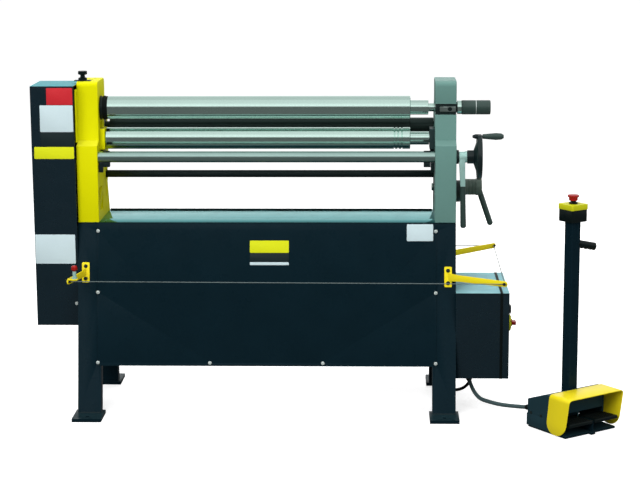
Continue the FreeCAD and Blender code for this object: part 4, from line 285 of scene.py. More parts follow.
@dataclass(frozen=True)
class Finish:
    """A painted, moulded or cast finish, and how it varies over the surface.

    Depths and widths are in metres. tone is the share by which patches lighten and darken, wear the
    strength of the chipped edges and dust that of the film on upward faces, which is dust on most finishes
    and painted sheen on the dark tops. glance tints what shows at a shallow
    angle.
    """

    name: str
    color: Rgb
    roughness: float = 0.4
    metallic: float = 0.0
    specular: float = 0.4
    coat: float = 0.0
    tone: float = 0.06
    tone_scale: float = 8.0
    grain_scale: float = 320.0
    grain_depth: float = 0.0002
    grain_coarse: float = 0.4
    wear: float = 0.0
    wear_color: Rgb = (0.30, 0.31, 0.30)
    wear_width: float = 0.0014
    dust_and_sheen: float = 0.0
    dust_and_sheen_color: Rgb = (0.42, 0.44, 0.42)
    glance: Rgb = (1.0, 1.0, 1.0)

    def build(self, shelf: EffectShelf) -> bpy.types.Material:
        """Make the material.

        Args:
            shelf: The shared effects.

        Returns:
            The material, named after the finish.
        """
        material = bpy.data.materials.new(self.name)
        material.use_nodes = True
        material.node_tree.nodes.clear()
        board = Board(material.node_tree, shelf)
        shader = board.add("ShaderNodeBsdfPrincipled", {
            "Metallic": self.metallic, "Specular IOR Level": self.specular, "Coat Weight": self.coat,
            "Coat Roughness": 0.12, "Specular Tint": (*self.glance, 1)})
        board.add("ShaderNodeOutputMaterial", {0: shader.outputs[0]})
        color, rough, height = self.surface(board)
        if self.wear:
            mask = board.effect(Effect.EDGE_WEAR, Width=self.wear_width, Amount=self.wear)[0]
            color = board.blend(mask, color, (*self.wear_color, 1))
        # Film on upward faces: dust on most finishes, painted sheen on the dark tops.
        if self.dust_and_sheen:
            dust_sheen_mask = board.effect(Effect.DUST_AND_SHEEN, Amount=self.dust_and_sheen)[0]
            color = board.blend(dust_sheen_mask, color, (*self.dust_and_sheen_color, 1))
            rough = board.plus(rough, board.times(dust_sheen_mask, 0.5), clamp=True)
        board.plug(shader.inputs["Base Color"], color)
        board.plug(shader.inputs["Roughness"], rough)
        bump = board.add("ShaderNodeBump", {"Height": height, "Distance": self.grain_depth, "Strength": 0.7})
        board.plug(shader.inputs["Normal"], bump.outputs[0])
        return material

    def toned(self, board: Board) -> Socket:
        """The finish's colour with its patches."""
        return board.effect(Effect.TONE, Color=(*self.color, 1), Amount=self.tone, Scale=self.tone_scale)[0]

    def surface(self, board: Board) -> tuple[Socket, Socket, Socket]:
        """Build the surface before wear and the film of dust and painted sheen.

        Args:
            board: The material's nodes.

        Returns:
            Its colour, roughness and height.
        """
        color = self.toned(board)
        grain = board.effect(Effect.GRAIN, Scale=self.grain_scale, Coarse=self.grain_coarse)
        cloud = board.noise(board.place(), self.tone_scale * 2.3, 4)
        rough = board.ramp(cloud, 0.3, 0.7, max(0.03, self.roughness - 0.06), self.roughness + 0.06)
        return color, rough, grain[0]


@dataclass(frozen=True)
class TurnedSteel(Finish):
    """Bare steel turned or ground about an axis along X."""

    pitch: float = 900.0
    marks: float = 0.4

    def surface(self, board: Board) -> tuple[Socket, Socket, Socket]:
        """Build a surface of fine rings and slow smears.

        Args:
            board: The material's nodes.

        Returns:
            Its colour, roughness and height.
        """
        rings = board.effect(Effect.TURNING, Pitch=self.pitch, Amount=self.marks)
        color = self.toned(board)
        rough = board.ramp(rings["Mask"], 0.0, self.marks, self.roughness - 0.07, self.roughness + 0.12)
        return color, rough, rings["Height"]


YELLOW = Finish("YellowPaint", (0.66, 0.65, 0.001), 0.46, specular=0.06, tone=0.04, grain_depth=0.00035,
                wear=0.35, wear_color=(0.30, 0.27, 0.10), dust_and_sheen=0.05)
YELLOW_SHEET = Finish("YellowSheetPaint", (0.82, 0.68, 0.012), 0.34, specular=0.25, tone=0.02, wear=0.08,
                      wear_color=(0.3, 0.25, 0.1))
DARK = Finish("DarkPowderCoat", (0.0034, 0.0125, 0.0185), 0.30, specular=0.05, tone=0.12, grain_scale=520,
              grain_depth=0.00006, wear=0.10, wear_color=(0.16, 0.22, 0.22), dust_and_sheen=0.08,
              dust_and_sheen_color=(0.10, 0.20, 0.21))
# The strong pale cyan film that DARK_TOP lays on upward faces is painted sheen, not dust: it stands in for
# the bright room's reflection on the dark paint.
DARK_TOP = replace(DARK, name="SheenPaintedPowderCoat", color=(0.0028, 0.0115, 0.0175), roughness=0.26,
                   specular=0.48, grain_depth=0.00004, dust_and_sheen=0.60, dust_and_sheen_color=(0.08, 0.50, 0.56))
# CABINET's still brighter film on its top is painted sheen as well.
CABINET = replace(DARK_TOP, name="CabinetPowderCoat", dust_and_sheen=0.95, dust_and_sheen_color=(0.28, 0.60, 0.66))
STAND_TOP = replace(DARK, name="StandTopSheet", color=(0.012, 0.070, 0.085), roughness=0.13, specular=0.4,
                    metallic=1.0, coat=0.45, grain_depth=0.00003, dust_and_sheen=0.06, dust_and_sheen_color=(0.10, 0.20, 0.22),
                    glance=(0.42, 1.0, 1.0))
HOUSING = replace(DARK, name="MouldedHousing", color=(0.011, 0.033, 0.043), roughness=0.42, specular=0.15,
                  tone=0.10, grain_depth=0.0001, dust_and_sheen=0.0)
DARK_CAST = Finish("DarkCastPaint", (0.020, 0.040, 0.040), 0.40, specular=0.3, tone=0.12, grain_depth=0.0003,
                   wear=0.2, wear_color=(0.2, 0.24, 0.24))
GREY_GREEN = Finish("GreyGreenPaint", (0.118, 0.238, 0.212), 0.42, specular=0.2, grain_depth=0.0003,
                    wear=0.3, wear_color=(0.42, 0.45, 0.43), dust_and_sheen=0.05)
PALE_STEEL = Finish("PaleSteelPaint", (0.38, 0.62, 0.57), 0.34, metallic=0.35, wear=0.2,
                    wear_color=(0.5, 0.55, 0.53))
ROLL_STEEL = TurnedSteel("GroundRollSteel", (0.66, 0.89, 0.81), 0.15, metallic=1.0, tone=0.04,
                         tone_scale=6, grain_depth=0.00002)
# DARK_ROLL's near-black steel is painted shade: it makes the rear roll as dark as the shadowed gap between
# the other rolls, where it is seen.
DARK_ROLL = TurnedSteel("ShadeDarkRollSteel", (0.022, 0.036, 0.033), 0.34, metallic=0.8, tone=0.08,
                        tone_scale=6, grain_depth=0.00002)
TUBE_STEEL = TurnedSteel("DrawnTubeSteel", (0.47, 0.68, 0.63), 0.30, metallic=1.0, tone=0.07, pitch=300,
                         tone_scale=5, grain_depth=0.00004)
BRIGHT_STEEL = Finish("MachinedSteel", (0.50, 0.62, 0.58), 0.30, metallic=1.0, tone=0.08, grain_scale=900,
                      grain_depth=0.00003)
BLACK_STEEL = Finish("BlackenedSteel", (0.012, 0.022, 0.022), 0.32, metallic=0.35, tone=0.15,
                     grain_scale=700, grain_depth=0.00005, wear=0.25, wear_color=(0.2, 0.22, 0.21))
BLACK_IRON = Finish("BlackEnamelIron", (0.004, 0.011, 0.012), 0.30, tone=0.15, grain_depth=0.00025,
                    wear=0.15, wear_color=(0.16, 0.18, 0.18))
OLIVE_IRON = Finish("OliveBlackIron", (0.065, 0.095, 0.078), 0.36, specular=0.35, tone=0.15, wear=0.15,
                    wear_color=(0.2, 0.22, 0.18))
CAST = Finish("MachinedCastIron", (0.17, 0.19, 0.185), 0.45, metallic=0.8, tone=0.15, grain_scale=420,
              grain_depth=0.00025)
WELD = Finish("WeldBead", (0.008, 0.017, 0.020), 0.45, specular=0.25, tone=0.25, grain_scale=260,
              grain_depth=0.0005)
GRIP = Finish("GreenBlackGrip", (0.026, 0.048, 0.042), 0.38, specular=0.45, tone=0.10, grain_scale=900,
              grain_depth=0.00006)
MOTOR = Finish("DarkMotorPaint", (0.020, 0.034, 0.038), 0.42, specular=0.25, tone=0.10, grain_depth=0.0003,
               dust_and_sheen=0.2, dust_and_sheen_color=(0.2, 0.26, 0.27))
CONDUIT = Finish("GreyConduit", (0.055, 0.092, 0.095), 0.45, specular=0.35, tone=0.10, grain_scale=700,
                 grain_depth=0.00006)
BLACK_PLASTIC = Finish("BlackPlastic", (0.0025, 0.006, 0.006), 0.36, specular=0.2, tone=0.1,
                       grain_scale=900, grain_depth=0.00006)
BLACK_RUBBER = Finish("BlackRubber", (0.003, 0.005, 0.005), 0.62, specular=0.12, tone=0.12,
                      grain_scale=700, grain_depth=0.00008)
YELLOW_PLASTIC = Finish("YellowPlastic", (0.52, 0.53, 0.008), 0.40, specular=0.2, tone=0.03, grain_scale=900,
                        grain_depth=0.00003)
RED_PLASTIC = Finish("RedPlastic", (0.30, 0.006, 0.004), 0.26, tone=0.04, grain_scale=900,
                     grain_depth=0.00003)
ZINC = Finish("ZincPlate", (0.60, 0.67, 0.65), 0.34, metallic=0.45, tone=0.12, grain_scale=800,
              grain_depth=0.00004)
WIRE = Finish("WireRope", (0.11, 0.14, 0.14), 0.45, specular=0.3, tone=0.15, grain_scale=1400)
FILM_WHITE = Finish("WhiteFilm", (0.52, 0.64, 0.67), 0.36, specular=0.15, tone=0.05, grain_depth=0.00002)
FILM_RED = replace(FILM_WHITE, name="RedFilm", color=(0.50, 0.022, 0.030), roughness=0.35)
FILM_YELLOW = replace(FILM_WHITE, name="YellowFilm", color=(0.62, 0.66, 0.01))
FILM_BLACK = replace(FILM_WHITE, name="BlackFilm", color=(0.010, 0.018, 0.020), specular=0.12, tone=0.08)


# ---------------------------------------------------------------- outlines and places


def rod(low: float, high: float, radius: float, edge: float = 0.0, bore: float = 0.0) -> Outline:
    """The profile of a plain rod or ring.

    Args:
        low: Its lower end.
        high: Its upper end.
        radius: Its radius.
        edge: Width of its broken edges, or 0 for sharp ones.
        bore: Radius of its bore, or 0 for none.

    Returns:
        Place along the axis and radius of each corner.
    """
    if not edge:
        return [(low, bore), (low, radius), (high, radius), (high, bore)]
    return [(low, bore), (low, radius - edge), (low + edge, radius), (high - edge, radius),
            (high, radius - edge), (high, bore)]


def arc(radius: float, start: int, stop: int, step: int) -> Outline:
    """Points on a circle about the origin, at the degrees that range gives."""
    return [(radius * math.cos(math.radians(a)), radius * math.sin(math.radians(a)))
            for a in range(start, stop, step)]


def rectangle(left: float, right: float, low: float, top: float) -> Outline:
    """The corners of a rectangle with sharp corners."""
    return [(left, low), (right, low), (right, top), (left, top)]


def rounded_rectangle(left: float, right: float, low: float, top: float, radius: float,
                      steps: int = 5) -> Outline:
    """Corners of a rectangle with round corners.

    Args:
        left: Its left edge.
        right: Its right edge.
        low: Its lower edge.
        top: Its upper edge.
        radius: Radius of its corners.
        steps: Facets in each corner.

    Returns:
        The corners, counterclockwise from the right edge.
    """
    corners = [(right - radius, top - radius, 0), (left + radius, top - radius, 90),
               (left + radius, low + radius, 180), (right - radius, low + radius, 270)]
    return [(x + radius * math.cos(math.radians(start + 90 * k / steps)),
             y + radius * math.sin(math.radians(start + 90 * k / steps)))
            for x, y, start in corners for k in range(steps + 1)]


def tooth_ring(module: float, teeth: int, first: float) -> Outline:
    """Corners of a spur gear about the origin.

    Args:
        module: Its module.
        teeth: Number of teeth.
        first: Angle of the first tooth, in radians.

    Returns:
        The corners of its involute teeth, in turn.
    """
    pressure = math.radians(20)
    pitch = module * teeth / 2
    base = pitch * math.cos(pressure)
    root, tip = pitch - 1.25 * module, pitch + module
    backlash = 0.4 / (module * teeth)

    def half(radius: float) -> float:
        """Half of a tooth's angle at a radius.

        Args:
            radius: Distance from the axis.

        Returns:
            The angle, in radians.
        """
        lean = math.acos(min(1.0, base / radius))
        return (math.pi / (2 * teeth) - backlash + math.tan(pressure) - pressure - math.tan(lean)
                + lean)

    low = max(base, root)
    flank = [low + (tip - low) * k / 5 for k in range(6)]
    ring = []
    for tooth in range(teeth):
        middle = first + tooth * FULL_TURN / teeth
        rising = [(root, middle - half(low))] + [(r, middle - half(r)) for r in flank]
        falling = [(r, middle + half(r)) for r in reversed(flank)] + [(root, middle + half(low))]
        ring += [(r * math.cos(a), r * math.sin(a)) for r, a in rising + falling]
    return ring


def facing(at: Point | Vector, out: Vector, up: Vector = UP) -> Matrix:
    """Axes at a place on a surface.

    Args:
        at: The place.
        out: The way that their Z points, out of the surface.
        up: The way that their Y is as near to as can be.

    Returns:
        The axes.
    """
    z = out.normalized()
    x = up.cross(z)
    x = x.normalized() if x.length > 1e-6 else Vector((1, 0, 0))
    turn = Matrix((x, z.cross(x), z)).transposed().to_4x4()
    turn.translation = Vector(at)
    return turn


def across_x(side: int = 1, y: float = 0.0, z: float = 0.0) -> Matrix:
    """Axes whose plane is the YZ plane about a point, with Z out to the left (-1) or right (1)."""
    return Matrix(((0, 0, side, 0), (1, 0, 0, y), (0, 1, 0, z), (0, 0, 0, 1)))


ALONG_Y = Matrix(((1, 0, 0, 0), (0, 0, 1, 0), (0, 1, 0, 0), (0, 0, 0, 1)))
UPPER_AXIS = (-4.0, 1041.0)
LOWER_AXIS = (-4.0, 935.0)
FOOT_TOP = 12.0
FRONT_SLOPE = 120.0 / 642.0
BACK_SLOPE = 0.11994
SLOPE_OUT = Vector((0, -1, FRONT_SLOPE)).normalized()
BACK_OUT = Vector((0, 1, BACK_SLOPE)).normalized()
STATION = Matrix.Translation((1087.4, -402.8, 0)) @ Matrix.Rotation(math.radians(36.3), 4, "Z")


def front_y(height: float, out: float = 0.0) -> float:
    """Y of the sloping front of the legs at a height, moved forward by out."""
    return -225.0 + FRONT_SLOPE * (height - FOOT_TOP) - out


def back_y(height: float) -> float:
    """Y of the sloping back of the legs at a height."""
    return 234.0 - BACK_SLOPE * (height - FOOT_TOP)


def slope_frame(x: float, height: float, sheet: float, behind: bool) -> Matrix:
    """Axes on a sheet that lies on the front or back of the legs, with Z out of it.

    Args:
        x: The place's X.
        height: Its height.
        sheet: Thickness of the sheet.
        behind: Whether it is on the back.

    Returns:
        The axes.
    """
    out = BACK_OUT if behind else SLOPE_OUT
    place = facing((x, back_y(height) if behind else front_y(height), height), out)
    return place @ Matrix.Translation((0, 0, sheet * abs(out.y)))


def bands(rings: int, count: int, closed: bool = False) -> Faces:
    """Faces between rings of points that follow each other.

    Args:
        rings: Number of rings.
        count: Points in each ring.
        closed: Whether the last ring joins the first, or both get a face of their own.

    Returns:
        The corners of each face, by number.
    """
    faces = []
    for ring in range(rings if closed else rings - 1):
        here, there = ring * count, (ring + 1) % rings * count
        for k in range(count):
            far = (k + 1) % count
            faces.append((here + k, here + far, there + far, there + k))
    if not closed:
        faces += [tuple(range(count))[::-1], tuple(range((rings - 1) * count, rings * count))]
    return faces


# ---------------------------------------------------------------- mesh helpers


class Form:
    """A shape in the making. Each call adds a shell and gives the form back, so calls can be strung."""

    def __init__(self) -> None:
        """Start empty."""
        self.mesh = bmesh.new()

    def merge(self, points: list[Vector], faces: Faces) -> "Form":
        """Add points in metres, and faces between them.

        Args:
            points: The points.
            faces: The numbers of the corners of each face.

        Returns:
            The form.
        """
        made = [self.mesh.verts.new(p) for p in points]
        for face in faces:
            self.mesh.faces.new([made[k] for k in face])
        return self

    def turned(self, along: Along, at: Pair, profile: Outline, sides: int = 64,
               turn: Matrix = OWN_AXES) -> "Form":
        """Add a solid of revolution.

        Args:
            along: Its axis.
            at: The axis's other two coordinates, in X, Y, Z order.
            profile: Place along the axis and radius of each corner.
            sides: Facets round it.
            turn: Where its own axes are.

        Returns:
            The form.
        """
        def spot(place: float, radius: float, lean: float) -> Vector:
            """The point at an angle round a corner of the profile.

            Args:
                place: Its place along the axis.
                radius: Its distance from the axis.
                lean: Its angle, in radians.

            Returns:
                The point, in metres.
            """
            across = [at[0] + radius * math.cos(lean), at[1] + radius * math.sin(lean)]
            across.insert(along.value, place)
            return turn @ Vector(across) * MM

        rings, points, faces = [], [], []
        for place, radius in profile:
            count = sides if radius > 1e-6 else 1
            rings.append(list(range(len(points), len(points) + count)))
            points += [spot(place, radius, FULL_TURN * k / sides) for k in range(count)]
        for first, second in zip(rings, rings[1:] + rings[:1] if profile[0][1] > 1e-6 else rings[1:]):
            for k in range(sides):
                a, b = first[k % len(first)], first[(k + 1) % len(first)]
                c, d = second[(k + 1) % len(second)], second[k % len(second)]
                corners = tuple(dict.fromkeys((a, b, c, d)))
                if len(corners) > 2:
                    faces.append(corners)
        return self.merge(points, faces)

    def spun(self, place: Matrix, profile: Outline, sides: int) -> "Form":
        """Add a solid of revolution about the Z axis of a place."""
        return self.turned(Along.Z, (0, 0), profile, sides, place)

    def extruded(self, outline: Outline, low: float, high: float, turn: Matrix = OWN_AXES) -> "Form":
        """Add a flat outline raised from low to high.

        Args:
            outline: Corners in the XY plane of its own axes.
            low: Its lower height.
            high: Its upper height.
            turn: Where its own axes are.

        Returns:
            The form.
        """
        points = [turn @ Vector((x, y, z)) * MM for z in (low, high) for x, y in outline]
        faces = bands(2, len(outline))
        return self.merge(points, faces[-2:] + faces[:-2])

    def hollow(self, outer: Outline, inner: Outline, low: float, high: float,
               turn: Matrix = OWN_AXES) -> "Form":
        """Add a raised outline with a hole, as extruded does.

        Args:
            outer: Its outer corners.
            inner: The corners of the hole, as many as outer has.
            low: Its lower height.
            high: Its upper height.
            turn: Where its own axes are.

        Returns:
            The form.
        """
        rings = ((outer, low), (outer, high), (inner, high), (inner, low))
        points = [turn @ Vector((x, y, height)) * MM for ring, height in rings for x, y in ring]
        return self.merge(points, bands(4, len(outer), closed=True))

    def bored(self, outline: Outline, bore: float, low: float, high: float,
              turn: Matrix = OWN_AXES) -> "Form":
        """Add a raised outline with a round hole about its own Z axis.

        Args:
            outline: Its outer corners.
            bore: Radius of the hole.
            low: Its lower height.
            high: Its upper height.
            turn: Where its own axes are.

        Returns:
            The form.
        """
        edge = []
        for (ax, ay), (bx, by) in zip(outline, outline[1:] + outline[:1]):
            steps = max(1, round(math.dist((ax, ay), (bx, by)) / 5.0))
            edge += [(ax + (bx - ax) * k / steps, ay + (by - ay) * k / steps) for k in range(steps)]
        hole = [(bore * x / math.hypot(x, y), bore * y / math.hypot(x, y)) for x, y in edge]
        return self.hollow(edge, hole, low, high, turn)

    def ring(self, place: Matrix, major: float, minor: float) -> "Form":
        """Add a ring of round wire about the Z axis of a place.

        Args:
            place: Its axes.
            major: Radius to the middle of the wire.
            minor: Radius of the wire.

        Returns:
            The form.
        """
        points, around, across = [], 32, 12
        for k in range(around):
            turn = FULL_TURN * k / around
            for j in range(across):
                lean = FULL_TURN * j / across
                wide = major + minor * math.cos(lean)
                spot = Vector((wide * math.cos(turn), wide * math.sin(turn), minor * math.sin(lean)))
                points.append(place @ spot * MM)
        return self.merge(points, bands(around, across, closed=True))


class Rounder:
    """Edge breaks and smooth shading for a piece."""

    def __init__(self) -> None:
        """Build the shading tree once."""
        self.tree = tree = bpy.data.node_groups.new("SmoothUpToAngle", "GeometryNodeTree")
        for way in ("INPUT", "OUTPUT"):
            tree.interface.new_socket(name="Geometry", in_out=way, socket_type="NodeSocketGeometry")
        board = Board(tree)
        start, end = tree.nodes.new("NodeGroupInput"), tree.nodes.new("NodeGroupOutput")
        bare = board.add("GeometryNodeRemoveAttribute", {
            "Geometry": start.outputs[0], "Name": "custom_normal"})
        faces = board.add("GeometryNodeSetShadeSmooth", {"Geometry": bare.outputs[0], "Shade Smooth": True})
        angle = board.add("GeometryNodeInputMeshEdgeAngle")
        sharp = board.add("FunctionNodeCompare", {0: angle.outputs[0], 1: math.radians(32)},
                          data_type="FLOAT", operation="GREATER_THAN")
        edges = board.add("GeometryNodeSetShadeSmooth", {
            "Geometry": faces.outputs[0], "Selection": sharp.outputs[0], "Shade Smooth": False},
            domain="EDGE")
        board.plug(end.inputs[0], edges.outputs[0])

    def apply(self, piece: bpy.types.Object, width: float) -> None:
        """Break the piece's sharp edges and shade it smooth.

        Args:
            piece: The mesh object.
            width: Width of the edge break, or 0 for none.
        """
        piece.modifiers.new("weld", "WELD").merge_threshold = 2e-6
        if width:
            bevel = piece.modifiers.new("edge_break", "BEVEL")
            bevel.width, bevel.segments = width * MM, 2
            bevel.limit_method, bevel.angle_limit = "ANGLE", math.radians(35)
            bevel.use_clamp_overlap = True
        piece.modifiers.new("shade", "NODES").node_group = self.tree


class Shop:
    """Makes pieces, gives them a finish and puts them on their bodies."""

    def __init__(self) -> None:
        """Start with an empty shelf of effects and finishes."""
        self.shelf = EffectShelf()
        self.rounder = Rounder()
        self._paints: dict[str, bpy.types.Material] = {}

    def paint(self, finish: Finish) -> bpy.types.Material:
        """Build the material of a finish at its first use.

        Args:
            finish: The finish.

        Returns:
            Its material.
        """
        if finish.name not in self._paints:
            self._paints[finish.name] = finish.build(self.shelf)
        return self._paints[finish.name]

    def dress(self, piece: bpy.types.Object, finish: Finish, width: float) -> None:
        """Put one finish on the whole of a piece, and break its edges by a width.

        Args:
            piece: The mesh object.
            finish: Its finish.
            width: Width of the edge break, or 0 for none.
        """
        piece.data.materials.clear()
        piece.data.materials.append(self.paint(finish))
        self.rounder.apply(piece, width)

    def piece(self, name: str, form: Form, finish: Finish, body: str, slot: str, *replaces: str,
              width: float = 0.0) -> bpy.types.Object:
        """Turn a form into a finished piece.

        Args:
            name: The piece's name.
            form: Its shape, which is used up.
            finish: Its finish.
            body: The body that it rides on.
            slot: The record's material slot.
            *replaces: Nodes that it stands for.
            width: Width of the edge break, or 0 for none.

        Returns:
            The new object.
        """
        bmesh.ops.remove_doubles(form.mesh, verts=form.mesh.verts, dist=1e-7)
        bmesh.ops.recalc_face_normals(form.mesh, faces=form.mesh.faces)
        mesh = bpy.data.meshes.new(name)
        form.mesh.to_mesh(mesh)
        form.mesh.free()
        made = bpy.data.objects.new(name, mesh)
        bpy.context.scene.collection.objects.link(made)
        self.dress(made, finish, width)
        self.settle(made, body, slot, *replaces)
        return made

    def settle(self, made: bpy.types.Object, body: str, slot: str, *replaces: str) -> None:
        """Put a piece on its body and hide the nodes that it stands for.

        Args:
            made: The piece.
            body: The body that it rides on.
            slot: The record's material slot; not used.
            *replaces: Nodes that it stands for.
        """
        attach(made, body)
        if replaces:
            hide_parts(*replaces)
        LOG.info("%s rides on %s", made.name, body)


# ---------------------------------------------------------------- studio


@dataclass
class Studio:
    """Camera, lamps, world and floor, in metres, radians and watts.

    Each part of the room is two directions, as one coordinate of the view, and the brightness at both.
    """

    camera_place: Point = (0.379761, -6.173203, 1.748554)
    yaw: float = 0.0323461914
    pitch: float = 0.187659057
    roll: float = -0.00456800204
    lens: float = 101.25
    fill: float = 0.42
    room_top: Four = (0.42, 0.80, 1.12, 0.78)
    room_foot: Four = (0.22, 0.36, 0.10, 1.0)
    room_front: Four = (-0.15, 0.05, 1.0, 0.0)
    room_back: Four = (0.30, 0.70, 1.0, 0.62)
    floor_reach: float = 30.0
    floor_drop: float = 0.0004
    floor_tone: float = 0.20
    floor_pale: float = 0.8
    floor_lift: float = 0.68
    floor_gloss: float = 0.13
    lamps: tuple[tuple[str, Point, Point, Pair, float], ...] = (
        ("overhead", (0.1, 0.1, 4.2), (0.1, 0.0, 0.8), (3.4, 2.4), 95),
        ("front_fill", (-1.6, -4.2, 2.6), (0.1, 0.0, 0.7), (2.6, 2.0), 150),
        ("side_fill", (3.4, -3.2, 2.0), (0.2, 0.0, 0.6), (2.0, 2.0), 60),
        ("back_fill", (0.4, 4.2, 2.4), (0.1, 0.0, 0.7), (2.6, 2.0), 95))

    def build(self) -> None:
        """Make everything that is not the machine."""
        self.camera()
        self.world()
        self.floor()
        for lamp in self.lamps:
            self.lamp(*lamp)
        bpy.context.scene.view_settings.view_transform = "Standard"

    def camera(self) -> None:
        """Set the camera at the operator's side."""
        lens = bpy.data.cameras.new("viewpoint")
        lens.lens, lens.sensor_width, lens.clip_start, lens.clip_end = self.lens, 36.0, 0.1, 60.0
        seat = bpy.data.objects.new("viewpoint", lens)
        bpy.context.scene.collection.objects.link(seat)
        ahead = Vector((-math.sin(self.yaw) * math.cos(self.pitch), math.cos(self.yaw) * math.cos(self.pitch),
                        -math.sin(self.pitch)))
        right = Vector((math.cos(self.yaw), math.sin(self.yaw), 0))
        up = right.cross(ahead)
        across = right * math.cos(self.roll) + up * math.sin(self.roll)
        rise = up * math.cos(self.roll) - right * math.sin(self.roll)
        turn = Matrix((across, rise, -ahead)).transposed().to_4x4()
        turn.translation = Vector(self.camera_place)
        seat.matrix_world = turn
        bpy.context.scene.camera = seat

    @staticmethod
    def canvas(owner: bpy.types.Material | bpy.types.World) -> Board:
        """Empty the nodes of a new material or world.

        Args:
            owner: The material or world.

        Returns:
            The board.
        """
        owner.use_nodes = True
        owner.node_tree.nodes.clear()
        return Board(owner.node_tree)

    def world(self) -> None:
        """A white surround that lights the machine softly."""
        world = bpy.data.worlds.new("surround")
        bpy.context.scene.world = world
        board = self.canvas(world)

        def glow(strength: object) -> bpy.types.Node:
            """White light of a strength."""
            return board.add("ShaderNodeBackground", {"Color": WHITE, "Strength": strength})

        toward = board.add("ShaderNodeSeparateXYZ", {0: board.add("ShaderNodeTexCoord").outputs["Generated"]})
        height, depth = toward.outputs["Z"], toward.outputs["Y"]
        room = board.times(board.ramp(height, *self.room_top), board.ramp(height, *self.room_foot))
        front = board.ramp(depth, *self.room_front)
        behind = board.ramp(height, *self.room_back)
        sky = board.plus(board.times(front, board.calc("SUBTRACT", room, behind)), behind)
        path = board.add("ShaderNodeLightPath").outputs
        eye = board.calc("MAXIMUM", path["Is Camera Ray"], path["Is Glossy Ray"])
        seen = board.calc("MAXIMUM", eye, path["Is Transmission Ray"])
        shown = board.either(path["Is Glossy Ray"], glow(1.0), glow(sky))
        board.add("ShaderNodeOutputWorld", {0: board.either(seen, glow(self.fill), shown).outputs[0]})

    def floor(self) -> None:
        """A pale floor that goes white to the eye and keeps the soft shadow."""
        mesh = bpy.data.meshes.new("studio_floor")
        far = self.floor_reach
        mesh.from_pydata([(-far, -far, 0), (far, -far, 0), (far, far, 0), (-far, far, 0)], [], [(0, 1, 2, 3)])
        floor = bpy.data.objects.new("studio_floor", mesh)
        bpy.context.scene.collection.objects.link(floor)
        floor.location.z = -self.floor_drop
        material = bpy.data.materials.new("StudioFloor")
        board = self.canvas(material)
        dim = board.add("ShaderNodeBsdfDiffuse", {"Color": (self.floor_tone,) * 3 + (1,)})
        pale = board.add("ShaderNodeBsdfDiffuse", {"Color": (self.floor_pale,) * 3 + (1,)})
        lift = board.add("ShaderNodeEmission", {"Color": WHITE, "Strength": self.floor_lift})
        gloss = board.add("ShaderNodeEmission", {"Color": WHITE, "Strength": self.floor_gloss})
        lit = board.add("ShaderNodeAddShader", {0: pale.outputs[0], 1: lift.outputs[0]})
        path = board.add("ShaderNodeLightPath").outputs
        mix = board.either(path["Is Camera Ray"], board.either(path["Is Glossy Ray"], dim, gloss), lit)
        board.add("ShaderNodeOutputMaterial", {0: mix.outputs[0]})
        mesh.materials.append(material)

    @staticmethod
    def lamp(name: str, place: Point, aim: Point, size: Pair, power: float) -> None:
        """Hang a soft lamp.

        Args:
            name: Its name.
            place: Where it hangs.
            aim: The point that it faces.
            size: Its width and height.
            power: Its power.
        """
        data = bpy.data.lights.new(name, "AREA")
        data.shape, data.size, data.size_y, data.energy = "RECTANGLE", size[0], size[1], power
        lamp = bpy.data.objects.new(name, data)
        bpy.context.scene.collection.objects.link(lamp)
        lamp.location = place
        lamp.rotation_mode = "QUATERNION"
        lamp.rotation_quaternion = (Vector(aim) - Vector(place)).to_track_quat("-Z", "Y")
        lamp.visible_glossy = False


@dataclass
class Assembly:
    """A group of pieces that are made in one shop."""

    shop: Shop

    def build(self) -> None:
        """Make the pieces."""
        raise NotImplementedError


# ---------------------------------------------------------------- cables


